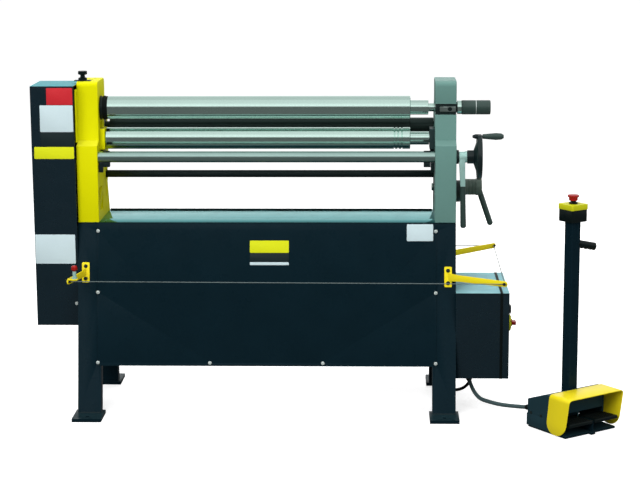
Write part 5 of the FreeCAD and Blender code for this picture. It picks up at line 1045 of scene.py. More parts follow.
@dataclass
class Cables(Assembly):
    """The pedal station's conduit and the motor's cable, in metres."""

    pedal_route: tuple[Point, ...] = (
        (0.70196, -0.07274, 0.09375), (0.7181, -0.0995, 0.0395), (0.78176, -0.16843, 0.03545),
        (0.83643, -0.22482, 0.04237), (0.88524, -0.2765, 0.05385))
    motor_route: tuple[Point, ...] = (
        (0.712, -0.02, 0.109), (0.712, -0.02, 0.076), (0.678, -0.02, 0.042), (0.6255, -0.02, 0.042),
        (0.5915, -0.02, 0.076), (0.5915, -0.02, 0.1514))
    rib_step: float = 0.0009
    rib_depth: float = 0.0007
    conduit_radius: float = 0.007
    motor_radius: float = 0.0055

    def build(self) -> None:
        """Lay both cables."""
        path = self.trace()
        form = self.ribbed(path)
        piece = self.shop.piece("pedal_flex", form, CONDUIT, "frame", "rubber_black", "pedal_cable")
        line = self.curve("motor_flex", self.motor_route, 12)
        line.bevel_depth, line.bevel_resolution, line.use_fill_caps = self.motor_radius, 8, True
        line.materials.append(self.shop.paint(BLACK_RUBBER))
        flex = bpy.data.objects.new("motor_flex", line)
        bpy.context.scene.collection.objects.link(flex)
        self.shop.settle(flex, "frame", "rubber_black", "motor_cable")

    @staticmethod
    def curve(name: str, route: tuple[Point, ...], steps: int) -> bpy.types.Curve:
        """A smooth curve.

        Args:
            name: Its name.
            route: Its control points.
            steps: Steps between them.

        Returns:
            The curve.
        """
        line = bpy.data.curves.new(name, "CURVE")
        line.dimensions = "3D"
        spline = line.splines.new("NURBS")
        spline.points.add(len(route) - 1)
        for point, place in zip(spline.points, route):
            point.co = (*place, 1.0)
        spline.order_u, spline.use_endpoint_u, spline.resolution_u = 3, True, steps
        return line

    def trace(self) -> list[Vector]:
        """Walk along the curve that the conduit follows.

        Returns:
            The points, in metres.
        """
        carrier = bpy.data.objects.new("conduit_route", self.curve("conduit_route", self.pedal_route, 40))
        traced = bpy.data.meshes.new_from_object(carrier)
        path = [Vector(vertex.co) for vertex in traced.vertices]
        bpy.data.objects.remove(carrier)
        bpy.data.meshes.remove(traced)
        return path

    def ribbed(self, path: list[Vector]) -> Form:
        """A tube round a path, with a rib at each pitch.

        Args:
            path: The points that it follows.

        Returns:
            Its form.
        """
        marks = [0.0]
        for first, second in zip(path, path[1:]):
            marks.append(marks[-1] + (second - first).length)
        steps = round(marks[-1] / self.rib_step)
        points, sides, place, across = [], 20, 0, UP
        for step in range(steps + 1):
            reach = marks[-1] * step / steps
            while place < len(marks) - 2 and marks[place + 1] < reach:
                place += 1
            share = (reach - marks[place]) / (marks[place + 1] - marks[place])
            middle = path[place].lerp(path[place + 1], share)
            along = (path[place + 1] - path[place]).normalized()
            across = (across - along * across.dot(along)).normalized()
            other = along.cross(across)
            wide = self.conduit_radius if step % 4 in (1, 2) else self.conduit_radius - self.rib_depth
            for k in range(sides):
                lean = FULL_TURN * k / sides
                points.append(middle + (across * math.cos(lean) + other * math.sin(lean)) * wide)
        return Form().merge(points, bands(steps + 1, sides))


# ---------------------------------------------------------------- rolls


@dataclass
class Rolls(Assembly):
    """The three rolls, turned finely enough for their reflections."""

    rear_axis: Pair = (96.0, 964.0)
    left_end: float = -557.3
    right_end: float = 492.7
    break_width: float = 1.5
    facets: int = 128
    upper_radius: float = 40.0
    radius: float = 37.5
    drive_inset: float = 7.2
    ball: Pair = (-575.0, 15.0)
    cross_pin: Pair = (18.0, 4.0)
    grooves: Point = (436.4, 448.6, 461.6)
    gear: Pair = (-703.0, -677.0)

    def build(self) -> None:
        """Turn the rolls."""
        self.upper()
        self.lower()
        # The rear roll gets the near-black DARK_ROLL steel as painted shade of the gap that it is seen
        # through.
        form = Form().turned(Along.X, self.rear_axis, [
            (-623.5, 0), (-623.5, 18), (self.left_end, 18), *self.barrel(self.radius), (self.right_end, 30),
            (574, 30), (574.5, 29.5), (574.5, 18), (623.5, 18), (623.5, 0)], self.facets)
        self.shop.piece("rear_forming_roll", form, DARK_ROLL, "rear_roller", "bright_steel", "rear_roll")

    def barrel(self, radius: float, middle: Outline | tuple = (), inset: float = 0.0) -> Outline:
        """The working length of a roll.

        Args:
            radius: Its radius.
            middle: Corners of what is cut into it.
            inset: How far its left end is moved in.

        Returns:
            Its profile, with both edges broken.
        """
        left, right, cut = self.left_end + inset, self.right_end, self.break_width
        return [(left, radius - cut), (left + cut, radius), *middle, (right - cut, radius),
                (right, radius - cut)]

    def upper(self) -> None:
        """The roll that swings out, with its ball and cross pin."""
        y, z = UPPER_AXIS
        form = Form().turned(Along.X, UPPER_AXIS, [
            (-567.8, 0), (-567.8, 11), (self.left_end + self.drive_inset, 11),
            *self.barrel(self.upper_radius, inset=self.drive_inset), (self.right_end, 25), (554, 25),
            (554.5, 24.5), (554.5, 14), (640, 14), (640, 0)], self.facets)
        place, radius = self.ball
        leans = [math.pi * k / 16 for k in range(17)]
        ball = [(place - radius * math.cos(lean), radius * math.sin(lean)) for lean in leans]
        form.turned(Along.X, UPPER_AXIS, ball, 48)
        reach, thick = self.cross_pin
        form.turned(Along.Z, (place, y), rod(z - reach, z + reach, thick), 24)
        self.shop.piece("upper_forming_roll", form, ROLL_STEEL, "upper_roller", "bright_steel", "upper_roll")

    def lower(self) -> None:
        """The driven lower roll, with its wire grooves and gear."""
        groove = ((0, 37.5), (0.5, 35.2), (1.4, 34.2), (3.4, 34.2), (4.3, 35.2), (4.8, 37.5))
        cuts = [(start + x, radius) for start in self.grooves for x, radius in groove]
        form = Form().turned(Along.X, LOWER_AXIS, [
            (-711, 0), (-711, 15), (self.left_end, 15), *self.barrel(self.radius, cuts), (self.right_end, 23),
            (556.7, 23), (557.2, 22.5), (557.2, 15), (623.5, 15), (623.5, 0)], self.facets)
        form.extruded(tooth_ring(5, 15, math.pi / 2 + math.pi / 15), *self.gear, across_x(1, *LOWER_AXIS))
        self.shop.piece("lower_forming_roll", form, ROLL_STEEL, "lower_roller", "bright_steel", "lower_roll")


@dataclass
class DriveEnd(Assembly):
    """The black sleeve and boot between the left casting and the upper roll."""

    sleeve: Pair = (-576.2, -571.6)
    sleeve_bore: float = 38.3
    radius: float = 41.6

    def build(self) -> None:
        """Make the sleeve on the drive and the hollow boot on the roll."""
        form = Form().turned(Along.X, UPPER_AXIS, rod(*self.sleeve, self.radius, 0.8, self.sleeve_bore), 96)
        self.shop.piece("drive_sleeve", form, BLACK_PLASTIC, "drive", "cast_iron")
        form = Form().turned(Along.X, UPPER_AXIS, [
            (-564.4, 11.2), (-564.4, 15), (-562.5, 22), (-561.6, 22.4), (-560.6, 30), (-560.2, 30.4),
            (-560.0, 39.7), (-565.9, 39.9), (-565.9, 41.0), (-565.2, self.radius), (-558.4, self.radius),
            (-557.8, 39.8), (-551.0, 39.8), (-550.0, 38.8), (-550.0, 11.2)], 96)
        self.shop.piece("upper_roll_boot", form, BLACK_RUBBER, "upper_roller", "bright_steel", "upper_roll")


# ---------------------------------------------------------------- lift of the lower roll


@dataclass
class LowerBlocks(Assembly):
    """The sliding blocks under the ends of the lower roll."""

    flange: Point = (559.2, 576.2, 36.0)
    slide: Four = (575.2, 624.5, 26.0, 30.0)
    flange_corner: float = 3.5
    slide_corner: float = 1.0
    bore: float = 15.05

    def build(self) -> None:
        """Make the painted left block and the dark right one."""
        near, far, half = self.flange
        start, end, half_y, half_z = self.slide
        face = rounded_rectangle(-half, half, -half, half, self.flange_corner)
        body = rounded_rectangle(-half_y, half_y, -half_z, half_z, self.slide_corner)
        for side, name, finish in ((-1, "left_lower_block", YELLOW), (1, "right_lower_block", DARK_CAST)):
            place = across_x(side, *LOWER_AXIS)
            form = Form().bored(face, self.bore, near, far, place).bored(body, self.bore, start, end, place)
            self.shop.piece(name, form, finish, "lower_carriage", "yellow_paint", "lower_blocks", width=0.8)


@dataclass
class PinchLever(Assembly):
    """The torque tube, its lifting arms, and the lever with its grip."""

    axis: Pair = (-80.0, 880.0)
    tube: Point = (-620.5, 657.5, 19.0)
    washer: Point = (649.3, 657.3, 24.0)
    tube_bore: float = 19.1
    hub: Pair = (561.0, 575.0)
    clamp: Point = (538.0, 561.0, 21.2)
    lug_low: float = 846.0
    tail_low: float = 826.0
    lever: Pair = (657.5, 678.5)
    lever_radius: float = 18.0
    lever_half_y: float = 17.0
    lever_end_z: float = 780.0
    lean: float = 4.5
    grip_end_z: float = 634.0
    grip_radius: float = 10.4
    boss: Pair = (686.0, 19.5)
    wheel_pin: Pair = (711.0, 8.0)

    def build(self) -> None:
        """Make the tube, the arms and the lever."""
        form = Form().turned(Along.X, self.axis, rod(*self.tube, 1), 96)
        self.shop.piece("lift_tube", form, TUBE_STEEL, "pinch_lever", "bright_steel", "lift_shaft")
        form = Form().turned(Along.X, self.axis, rod(*self.washer, 1, self.tube_bore))
        for side in (-1, 1):
            self.arm(form, side)
        self.shop.piece("lift_arms", form, BLACK_IRON, "pinch_lever", "black_iron", "lift_shaft", width=0.5)
        self.handle()

    def arm(self, form: Form, side: int) -> None:
        """The hub behind a casting, its arm under the block and the clamp with its lug.

        Args:
            form: What they go into.
            side: -1 for the left one, 1 for the right one.
        """
        y, z = self.axis
        place = across_x(side, y, z)
        low, high = self.hub
        bar = [(y + 17, z - 14), (-4, 882.7), (-0.5, 884.2), (2.4, 886.8), (4, 890.7), (2.4, 894.6),
               (-0.5, 897.2), (-4, 898.7), (y + 17, z + 15)]
        form.extruded([(a - y, b - z) for a, b in bar], low, high, place)
        form.extruded(rounded_rectangle(-11, 11, self.tail_low - z, -12, 9.0), low + 1, high - 1, place)
        low, high, radius = self.clamp
        band = arc(radius, -112, 113, 8) + arc(self.tube_bore, 112, -113, -8)
        lug = [(-12, -18), (-12, self.lug_low - z), (12, self.lug_low - z), (12, -18)]
        form.extruded(band, low, high, place).extruded(lug, low, high, place)

    def handle(self) -> None:
        """The flat lever, its boss and pin, and the round grip below it."""
        y, z = self.axis
        left, right = self.lever
        end, radius = self.boss
        foot_z, lean = self.lever_end_z, self.lean
        plate = [(left, z + 4), (left + lean + 1.5, foot_z), (right + lean - 3, foot_z), (right, z + 4)]
        form = Form().turned(Along.X, self.axis, rod(left, right, self.lever_radius, 1))
        form.extruded(plate, y - self.lever_half_y, y + self.lever_half_y, ALONG_Y)
        form.turned(Along.X, self.axis, [
            (right - 1, 0), (right - 1, radius), (end - 1.5, radius), (end, radius - 1.5), (end, 0)])
        form.turned(Along.X, self.axis, rod(end - 1, *self.wheel_pin), 32)
        self.shop.piece("pinch_arm", form, PALE_STEEL, "pinch_lever", "bright_steel", "side_lever", width=1.6)
        top = Vector(((left + right) / 2 + lean - 1, y, foot_z + 1))
        foot = Vector((top.x + 3.2, y, self.grip_end_z))
        length, wide = (foot - top).length, self.grip_radius
        form = Form().spun(facing(top, foot - top, TO_BACK), [
            (0, 0), (0, wide - 2.4), (2.5, wide - 0.8), (length * 0.5, wide - 0.6), (length - 6, wide),
            (length - 2.5, wide - 1.4), (length, wide - 5), (length, 0)], 48)
        self.shop.piece("pinch_grip", form, GRIP, "pinch_lever", "black_plastic", "lever_grip")


# ---------------------------------------------------------------- swinging end of the upper roll


@dataclass
class SwingEnd(Assembly):
    """The carrier in the right casting, its draw bar, collar and grip."""

    carrier: Point = (578.0, 648.0, 18.4)
    carrier_y: Pair = (-60.0, 20.0)
    neck: Pair = (653.2, 18.0)
    bar: Point = (592.0, 646.5, 8.5)
    bar_sheet: float = 3.5
    screw_x: float = 626.5
    screw_room: float = 7.4
    collar: Point = (653.3, 668.3, 23.4)
    spindle: Point = (650.0, 759.0, 14.0)
    spindle_bore: float = 14.1
    grip: Point = (668.5, 767.3, 24.6)
    seam_x: float = 717.8
    seam_half: float = 0.9

    def build(self) -> None:
        """Make the carrier, the collar and the grip."""
        z = UPPER_AXIS[1]
        left, right, half = self.carrier
        front, back = self.carrier_y
        form = Form().extruded(rectangle(left, right, z - half, z + half),
                               front + self.bar_sheet - 0.5, back, ALONG_Y)
        form.turned(Along.X, UPPER_AXIS, rod(right - 1, *self.neck), 48)
        # The carrier's blackened steel is painted shade: it makes the block as dark as the shaded slot that
        # it sits in.
        self.shop.piece("swing_carrier", form, BLACK_STEEL, "swing_arm", "bright_steel", "swing_block",
                        width=0.5)
        left, right, half = self.bar
        outline = rounded_rectangle(left - self.screw_x, right - self.screw_x, -half, half, 2.0)
        place = facing((self.screw_x, front, z), TO_FRONT)
        form = Form().bored(outline, self.screw_room, -self.bar_sheet, 0.0, place)
        self.shop.piece("swing_draw_bar", form, BRIGHT_STEEL, "swing_arm", "bright_steel", "swing_block",
                        width=0.4)
        form = Form().turned(Along.X, UPPER_AXIS, rod(*self.collar, 1, self.spindle_bore), 96)
        form.turned(Along.X, UPPER_AXIS, rod(*self.spindle), 48)
        self.shop.piece("release_collar", form, ROLL_STEEL, "swing_arm", "bright_steel", "swing_block")
        self.handle()

    def handle(self) -> None:
        """The two-part grip with the bright ring between its halves."""
        left, right, radius = self.grip
        near, far, bore = self.seam_x - self.seam_half, self.seam_x + self.seam_half, self.spindle_bore
        form = Form().turned(Along.X, UPPER_AXIS, [
            (left, bore), (left, radius - 1.6), (left + 1.6, radius), (near - 0.6, radius),
            (near, radius - 0.6), (near, bore)], 96)
        form.turned(Along.X, UPPER_AXIS, [
            (far, bore), (far, radius - 0.6), (far + 0.6, radius), (right - 2.4, radius),
            (right - 0.8, radius - 0.8), (right, radius - 3), (right, 0), (right - 7, 0),
            (right - 7, bore)], 96)
        self.shop.piece("release_handle", form, GRIP, "swing_arm", "black_plastic", "release_grip")
        form = Form().turned(Along.X, UPPER_AXIS, rod(near, far, radius - 0.5, 0, bore), 96)
        self.shop.piece("release_ring", form, ZINC, "swing_arm", "black_plastic", "release_grip")


@dataclass
class Adjuster(Assembly):
    """The hub outside the right casting, with its flange and hand bar."""

    axis: Pair = (55.0, 755.3)
    flange_axis: Pair = (55.0, 740.3)
    bar_top: Point = (727.0, 55.0, 768.0)
    bar_end: Point = (777.5, 55.0, 620.5)
    bar_radius: float = 10.2

    def build(self) -> None:
        """Make the flange, the hub and the bar."""
        form = Form().turned(Along.X, self.flange_axis, [
            (649.2, 0), (649.2, 37), (650.2, 38), (656.5, 38), (658, 36.5), (658, 30), (668, 27),
            (668, 0)], 96)
        form.turned(Along.X, self.axis, [
            (666, 0), (666, 22), (684.5, 22), (684.5, 26.5), (686, 28), (695, 28), (696, 27.4), (697, 28),
            (707, 28), (708, 27.4), (709, 28), (720.5, 28), (721.5, 27), (722, 27), (723, 29.5), (742, 29.5),
            (744, 27.5), (744, 0)], 96)
        self.shop.piece("adjuster_hub", form, OLIVE_IRON, "adjuster", "black_iron", "adjuster_handle")
        top, end = Vector(self.bar_top), Vector(self.bar_end)
        length, wide = (end - top).length, self.bar_radius
        form = Form().spun(facing(top, end - top, TO_BACK), [
            (0, 0), (0, wide - 1), (1, wide), (length - 6, wide), (length - 2, wide - 2.6),
            (length, wide - 6), (length, 0)], 48)
        self.shop.piece("adjuster_bar", form, GRIP, "adjuster", "black_iron", "adjuster_handle")


# ---------------------------------------------------------------- screws, bolts and welds


@dataclass
class Fasteners(Assembly):
    """Screws of the panels and arms, bolts of the castings and the welds of the feet."""

    panel_x: float = 580.0
    panel_levels: Point = (627.0, 419.5, 182.0)
    low_x: float = 194.0
    panel_sheet: float = 2.0
    arm_x: float = 622.0
    arm_levels: tuple[Point, Point] = ((-1, 487.0, 489.0), (1, 474.0, 489.0))
    arm_pitch: float = 21.0
    arm_sheet: float = 5.0
    bolt_x: float = 612.75
    bolt_ys: Pair = (-30.0, 95.0)
    seat_z: float = 642.0
    feet: Pair = (-649.0, 569.0)
    foot_width: float = 80.0
    weld_radius: float = 2.6

    def build(self) -> None:
        """Make the screws, the bolts and the welds."""
        bright, dark, bolts = Form(), Form(), Form()
        places = [(side * self.panel_x, z) for side in (-1, 1) for z in self.panel_levels]
        places += [(side * self.low_x, self.panel_levels[2]) for side in (-1, 1)]
        for x, z in places:
            for behind in (False, True):
                self.screw(bright, slope_frame(x, z, self.panel_sheet, behind), 6.2, 12.0)
        for side, front_z, back_z in self.arm_levels:
            for shift in (-self.arm_pitch, self.arm_pitch):
                for behind, z in ((False, front_z), (True, back_z)):
                    place = slope_frame(side * self.arm_x, z + shift, self.arm_sheet, behind)
                    self.screw(dark, place, 6.8, 4.0)
        low, seat, top = self.seat_z - 10, self.seat_z, self.seat_z + 45
        for x in (-self.bolt_x, self.bolt_x):
            for y in self.bolt_ys:
                bolts.turned(Along.Z, (x, y), [
                    (low, 0), (low, 10), (low + 1.5, 13), (seat, 13), (seat, 8), (top, 8), (top, 0)], 6)
        self.shop.piece("panel_screws", bright, ZINC, "frame", "zinc_screws", "stand_screws")
        self.shop.piece("arm_screws", dark, BLACK_STEEL, "frame", "zinc_screws", "stand_screws")
        self.shop.piece("casting_bolts", bolts, ZINC, "frame", "zinc_screws", "stand_screws", width=0.4)
        self.shop.piece("foot_welds", self.welds(), WELD, "frame", "dark_paint")

    @staticmethod
    def screw(form: Form, place: Matrix, radius: float, shank: float, height: float = 3.4) -> None:
        """Add a round head with a socket, and its shank.

        Args:
            form: What it goes into.
            place: Axes under its head, with Z outward.
            radius: Radius of the head.
            shank: Length of the shank.
            height: Height of the head.
        """
        form.spun(place, [
            (-shank, 0), (-shank, radius * 0.48), (0, radius * 0.48), (0, radius), (height * 0.35, radius),
            (height * 0.75, radius * 0.86), (height, radius * 0.58), (height, radius * 0.36),
            (height * 0.4, radius * 0.32), (height * 0.4, 0)], 24)

    def welds(self) -> Form:
        """Lay uneven beads where the legs stand on the feet.

        Returns:
            The form of all beads.
        """
        form = Form()
        for left in self.feet:
            for at in (front_y(FOOT_TOP) - 0.6, back_y(FOOT_TOP) + 0.6):
                profile, x = [(left, 0.0)], left + 0.6
                while x < left + self.foot_width - 1:
                    profile.append((x, self.weld_radius + random.uniform(-0.7, 0.7)))
                    x += random.uniform(1.6, 3.2)
                form.turned(Along.X, (at, FOOT_TOP + 0.4), profile + [(left + self.foot_width, 0.0)], 12)
        return form


# ---------------------------------------------------------------- trip wire


@dataclass(frozen=True)
class ArmPlace:
    """Where one arm stands and where it holds the wire."""

    name: str
    node: str
    plate_x: float
    height: float
    end: Pair
    behind: bool
    carries_switch: bool = False


@dataclass
class TripArms(Assembly):
    """The four yellow arms, with the eyes that hold the wire, and the body of the trip switch."""

    places: tuple[ArmPlace, ...] = (
        ArmPlace("front_left_arm", "front_trip_arms", -622.0, 487.0, (-657.0, -288.0), False, True),
        ArmPlace("front_right_arm", "front_trip_arms", 622.0, 474.0, (808.0, -254.0), False),
        ArmPlace("rear_right_arm", "rear_trip_arms", 622.0, 489.0, (808.0, 352.0), True),
        ArmPlace("rear_left_arm", "rear_trip_arms", -622.0, 489.0, (-665.0, 352.0), True))
    half_width: float = 13.0
    half_height: float = 35.0
    sheet: float = 5.0
    root_half: float = 14.0
    waist_half: float = 11.0
    waist_share: float = 0.22
    tip_radius: float = 9.5
    shelf: Four = (-659.0, -625.0, -298.0, -278.0)
    shelf_rise: Pair = (6.0, 10.0)
    switch: Pair = (-636.0, -288.0)
    shelf_top: float = 497.0

    def build(self) -> None:
        """Make the arms, their eyes and the slim body of the trip switch."""
        for place in self.places:
            self.arm(place)
        low = self.shelf_top
        form = Form().turned(Along.Z, self.switch, rod(low, low + 4, 10), 6)
        form.turned(Along.Z, self.switch, [
            (low + 3.5, 0), (low + 3.5, 6.4), (low + 7, 6.4), (low + 7.6, 5.8), (low + 8.2, 6.4),
            (low + 12, 6.4), (low + 12.6, 5.8), (low + 13.2, 6.4), (low + 24, 6.4), (low + 25, 5.6),
            (low + 25, 0)], 32)
        self.shop.piece("trip_switch_body", form, PALE_STEEL, "frame", "black_plastic", "trip_switch")

    def arm(self, place: ArmPlace) -> None:
        """Make one arm: a plate on the leg, a tapered bar with a round end, and the bar's eye.

        Args:
            place: Where it is.
        """
        wide, high, height = self.half_width, self.half_height, place.height
        form = Form().extruded(rounded_rectangle(-wide, wide, -high, high, 4.0), 0.0, self.sheet,
                               slope_frame(place.plate_x, height, 0.0, place.behind))
        face = back_y(height) + 3 if place.behind else front_y(height) - 3
        start, stop = Vector((place.plate_x, face, height)), Vector((*place.end, height))
        along, length = (stop - start).normalized(), (stop - start).length
        axes = Matrix((along, UP, along.cross(UP))).transposed().to_4x4()
        axes.translation = start
        waist = length * self.waist_share
        tip = [(length + y, x) for x, y in arc(self.tip_radius, 0, 181, 15)]
        outline = [(0, -self.root_half), (0, self.root_half), (waist, self.waist_half), *tip,
                   (waist, -self.waist_half)]
        form.extruded(outline[::-1], -self.sheet / 2, self.sheet / 2, axes)
        if place.carries_switch:
            low, top = self.shelf_rise
            form.extruded(rounded_rectangle(*self.shelf, 3.0), height + low, height + top)
        self.shop.piece(place.name, form, YELLOW_SHEET, "frame", "yellow_paint", place.node, width=0.7)
        side = Vector((-along.y, along.x, 0))
        eye = Form().spun(facing(stop - side * 6, side), [
            (0, 0), (0, 5.5), (3, 5.5), (3, 3), (9, 3), (9, 5.5), (12, 5), (12, 0)], 6)
        eye.ring(facing((*place.end, height - 1), UP, along), 7.5, 1.5)
        self.shop.piece(place.name + "_eye", eye, BLACK_STEEL, "frame", "yellow_paint", place.node)


# ---------------------------------------------------------------- cabinet


@dataclass
class CabinetDetails(Assembly):
    """The rubber edge between the cabinet and its door, the latch and the rotary switch."""

    face: float = 830.8
    edge: Pair = (799.6, 808.4)
    outside: Four = (-176.4, 176.4, 123.6, 426.4)
    edge_width: float = 8.0
    latch: Pair = (-130.0, 360.0)
    switch: Pair = (-50.0, 294.0)
    disc_radius: float = 29.0
    disc_thickness: float = 15.0
    notch_radius: float = 22.6

    def build(self) -> None:
        """Make the rubber edge, the latch and the switch."""
        front, back, low, top = self.outside
        wide = self.edge_width
        inner = rounded_rectangle(front + wide, back - wide, low + wide, top - wide, 2.0, 4)
        form = Form().hollow(rounded_rectangle(*self.outside, 5.0, 4), inner, *self.edge, across_x())
        self.shop.piece("door_edge_rubber", form, BLACK_RUBBER, "frame", "rubber_black", "cabinet_seal",
                        width=0.6)
        self.latch_piece()
        self.switch_pieces()

    def latch_piece(self) -> None:
        """The quarter-turn latch: a stem, a round head with a wing, and the tongue inside."""
        y, z = self.latch
        face = self.face
        form = Form().turned(Along.X, self.latch, [
            (face - 12, 0), (face - 12, 5.9), (face, 5.9), (face, 14), (face + 2, 14.5), (face + 4.6, 12.5),
            (face + 5.2, 8), (face + 5.2, 0)], 48)
        form.extruded([(face + 4, z - 17), (face + 7, z - 16), (face + 9, z - 8), (face + 9, z + 8),
                       (face + 7, z + 16), (face + 4, z + 17)], y - 3.2, y + 3.2, ALONG_Y)
        form.extruded(rounded_rectangle(y - 26, y + 6, z - 7, z + 7, 2.0), face - 12, face - 8, across_x())
        self.shop.piece("door_latch_wing", form, BLACK_PLASTIC, "latch", "black_plastic", "door_latch",
                        width=0.6)

    def switch_pieces(self) -> None:
        """The switch's round plate with black blocks in its rim as painted shade of its notches, and the red
        handle.
        """
        y, z = self.switch
        face, radius, knob = self.face, self.disc_radius, self.face + self.disc_thickness
        form = Form().turned(Along.X, self.switch, [
            (face - 16, 6.2), (face - 16, 13.5), (face - 0.2, 13.5), (face - 0.2, radius - 0.8),
            (face + 2, radius), (knob - 5, radius), (knob - 3, radius - 2), (knob, radius - 8),
            (knob, 6.2)], 64)
        self.shop.piece("switch_disc", form, YELLOW_PLASTIC, "door", "yellow_plastic", "switch_plate")
        # Black blocks in the yellow rim paint the shade inside its notches.
        form = Form()
        for turn in range(0, 360, 45):
            lean = math.radians(turn + 22.5)
            across = Vector((0, math.cos(lean), math.sin(lean)))
            at = (knob - 2.6, y + self.notch_radius * across.y, z + self.notch_radius * across.z)
            form.extruded(rounded_rectangle(-2.4, 2.4, -4.2, 5.4, 1.2), -3.0, 1.0,
                          facing(at, Vector((1, 0, 0)), across))
        self.shop.piece("switch_notches", form, BLACK_PLASTIC, "door", "yellow_plastic", "switch_plate",
                        width=0.2)
        form = Form().turned(Along.X, self.switch, [
            (face - 10, 0), (face - 10, 6), (knob + 0.4, 6), (knob + 0.4, 12.5), (knob + 3, 12.5),
            (knob + 4, 11), (knob + 4, 0)], 48)
        form.extruded([(knob + 3, y - 17), (knob + 12, y - 18), (knob + 15.5, y - 16), (knob + 17, y - 10),
                       (knob + 17, y + 10), (knob + 15.5, y + 16), (knob + 12, y + 18), (knob + 3, y + 17)],
                      z - 5.6, z + 5.6)
        self.shop.piece("switch_handle", form, RED_PLASTIC, "main_switch", "red_plastic", "switch_knob",
                        width=0.9)


# ---------------------------------------------------------------- pedal station


@dataclass
class PedalStation(Assembly):
    """The hood, treads, post grip and stop button, in the station's own axes: across, back and up."""

    half: float = 121.5
    front: float = -27.0
    back: float = 70.0
    sweep: float = 22.0
    top: float = 138.0
    low: float = 5.0
    sheet: float = 3.0
    bend: float = 14.0
    cheek_radius: float = 42.0
    tread_span: Pair = (12.0, 100.0)
    tread_front: float = -14.0
    tread_top: float = 50.0
    tread_fall: float = 4.0 / 72.0
    rib_start: float = -9.0
    rib_pitch: float = 7.5
    rib_half: float = 1.3
    tray: Point = (118.9, 90.0, 184.9)
    tray_sheet: float = 0.85
    tray_z: Pair = (8.0, 49.0)
    strip: Four = (-112.0, 112.0, 180.6, 183.9)
    strip_low: float = 0.6
    post: Pair = (108.0, 19.0)
    grip_z: float = 624.0
    grip_sunk: Pair = (3.0, 4.0)
    grip_way: Point = (0.93, -0.25, -0.21)
    grip_length: float = 64.0
    grip_start: float = 6.5
    grip_radius: float = 13.4
    groove_depth: float = 2.6
    grooves: int = 4
    tip_share: float = 0.93
    lid_z: float = 741.0
    lid_top: float = 756.0
    lid_half: float = 35.6
    lid_bore: float = 9.4
    stem: Pair = (723.0, 8.9)
    cap_rise: float = 13.4

    def build(self) -> None:
        """Make everything of the station that has a shape of its own."""
        self.hood()
        self.treads()
        self.skirt()
        self.grip()
        self.button()

    def reach(self, height: float) -> Pair:
        """Find the edges of the hood's cheeks at a height.

        Args:
            height: The height.

        Returns:
            The place of the front edge and of the back edge.
        """
        share = max(0.0, (self.top - height) / (self.top - self.low))
        front, back = self.front + self.sweep * share, self.back + 0.75 * self.sweep * share
        radius, rise = self.cheek_radius, height - self.low
        pull = radius - math.sqrt(max(0.0, radius ** 2 - max(0.0, radius - rise) ** 2))
        return front + pull, back - pull

    def hood(self) -> None:
        """One bent sheet with round cheeks."""
        half, bend, top, inner = self.half, self.bend, self.top, self.bend - self.sheet
        rise = [self.low + (top - bend - self.low) * (k / 20) ** 1.5 for k in range(21)]
        path = [(-half, z, -half + self.sheet, z) for z in rise]
        for k in range(1, 9):
            lean = math.radians(90 * k / 8)
            path.append((-half + bend - bend * math.cos(lean), top - bend + bend * math.sin(lean),
                         -half + bend - inner * math.cos(lean), top - bend + inner * math.sin(lean)))
        path += [(-a, z, -b, w) for a, z, b, w in reversed(path)]
        points = []
        for u, z, inner_u, inner_z in path:
            front, back = self.reach(z)
            points += [(u, front, z), (u, back, z), (inner_u, back, inner_z), (inner_u, front, inner_z)]
        form = Form().merge([STATION @ Vector(p) * MM for p in points], bands(len(path), 4))
        self.shop.piece("hood_sheet", form, YELLOW_SHEET, "frame", "yellow_paint", "pedal_hood", width=0.7)

    def treads(self) -> None:
        """Ribs across both pedals."""
        for side, name, body in ((-1, "left_tread", "pedal_left"), (1, "right_tread", "pedal_right")):
            form = Form()
            near, far = sorted(side * edge for edge in self.tread_span)
            for k in range(9):
                v = self.rib_pitch * k + self.rib_start
                z = self.tread_top - (v - self.tread_front) * self.tread_fall
                rib = rounded_rectangle(near, far, v - self.rib_half, v + self.rib_half, 0.9, 2)
                form.extruded(rib, z - 1.0, z + self.rib_half, STATION)
            self.shop.piece(name, form, BLACK_RUBBER, body, "black_plastic", width=0.3)

    def skirt(self) -> None:
        """The lower tray that wraps the foot of the housing, with a sealing strip under its back."""
        half, front, back = self.tray
        inner, inner_back = half - self.tray_sheet, back - self.tray_sheet
        wrap = [(-half, front), (-half, back), (half, back), (half, front), (inner, front),
                (inner, inner_back), (-inner, inner_back), (-inner, front)]
        form = Form().extruded(wrap, *self.tray_z, STATION)
        form.extruded(rectangle(*self.strip), self.strip_low, self.tray_z[0], STATION)
        self.shop.piece("housing_tray", form, HOUSING, "frame", "dark_paint", width=0.3)

    def grip(self) -> None:
        """The moulded grip on the post, with finger grooves under it."""
        middle, side = self.post
        inward, forward = self.grip_sunk
        place = facing((side - inward, middle - forward, self.grip_z), Vector(self.grip_way))
        start, count = self.grip_start, 32
        rings = [(0.0, 16.0), (5.0, 16.0), (start, 13.0)]
        rings += [(start + self.grip_length * k / 44, self.grip_radius) for k in range(1, 45)]
        points = []
        for along, radius in rings:
            share = max(0.0, (along - start) / self.grip_length)
            wave = max(0.0, math.sin(FULL_TURN * self.grooves * share)) if 0 < share < 1 else 0.0
            groove, past = self.groove_depth * wave, share - self.tip_share
            tip = 1.0 if past < 0 else math.sqrt(max(0.05, 1 - (past / 0.08) ** 2))
            for k in range(count):
                lean = FULL_TURN * k / count
                wide = (radius - groove * max(0.0, -math.sin(lean))) * tip
                points.append(place @ Vector((wide * math.cos(lean), wide * math.sin(lean), along)))
        form = Form().merge([STATION @ p * MM for p in points], bands(len(rings), count))
        self.shop.piece("post_handle", form, BLACK_PLASTIC, "frame", "black_plastic", "post_grip")

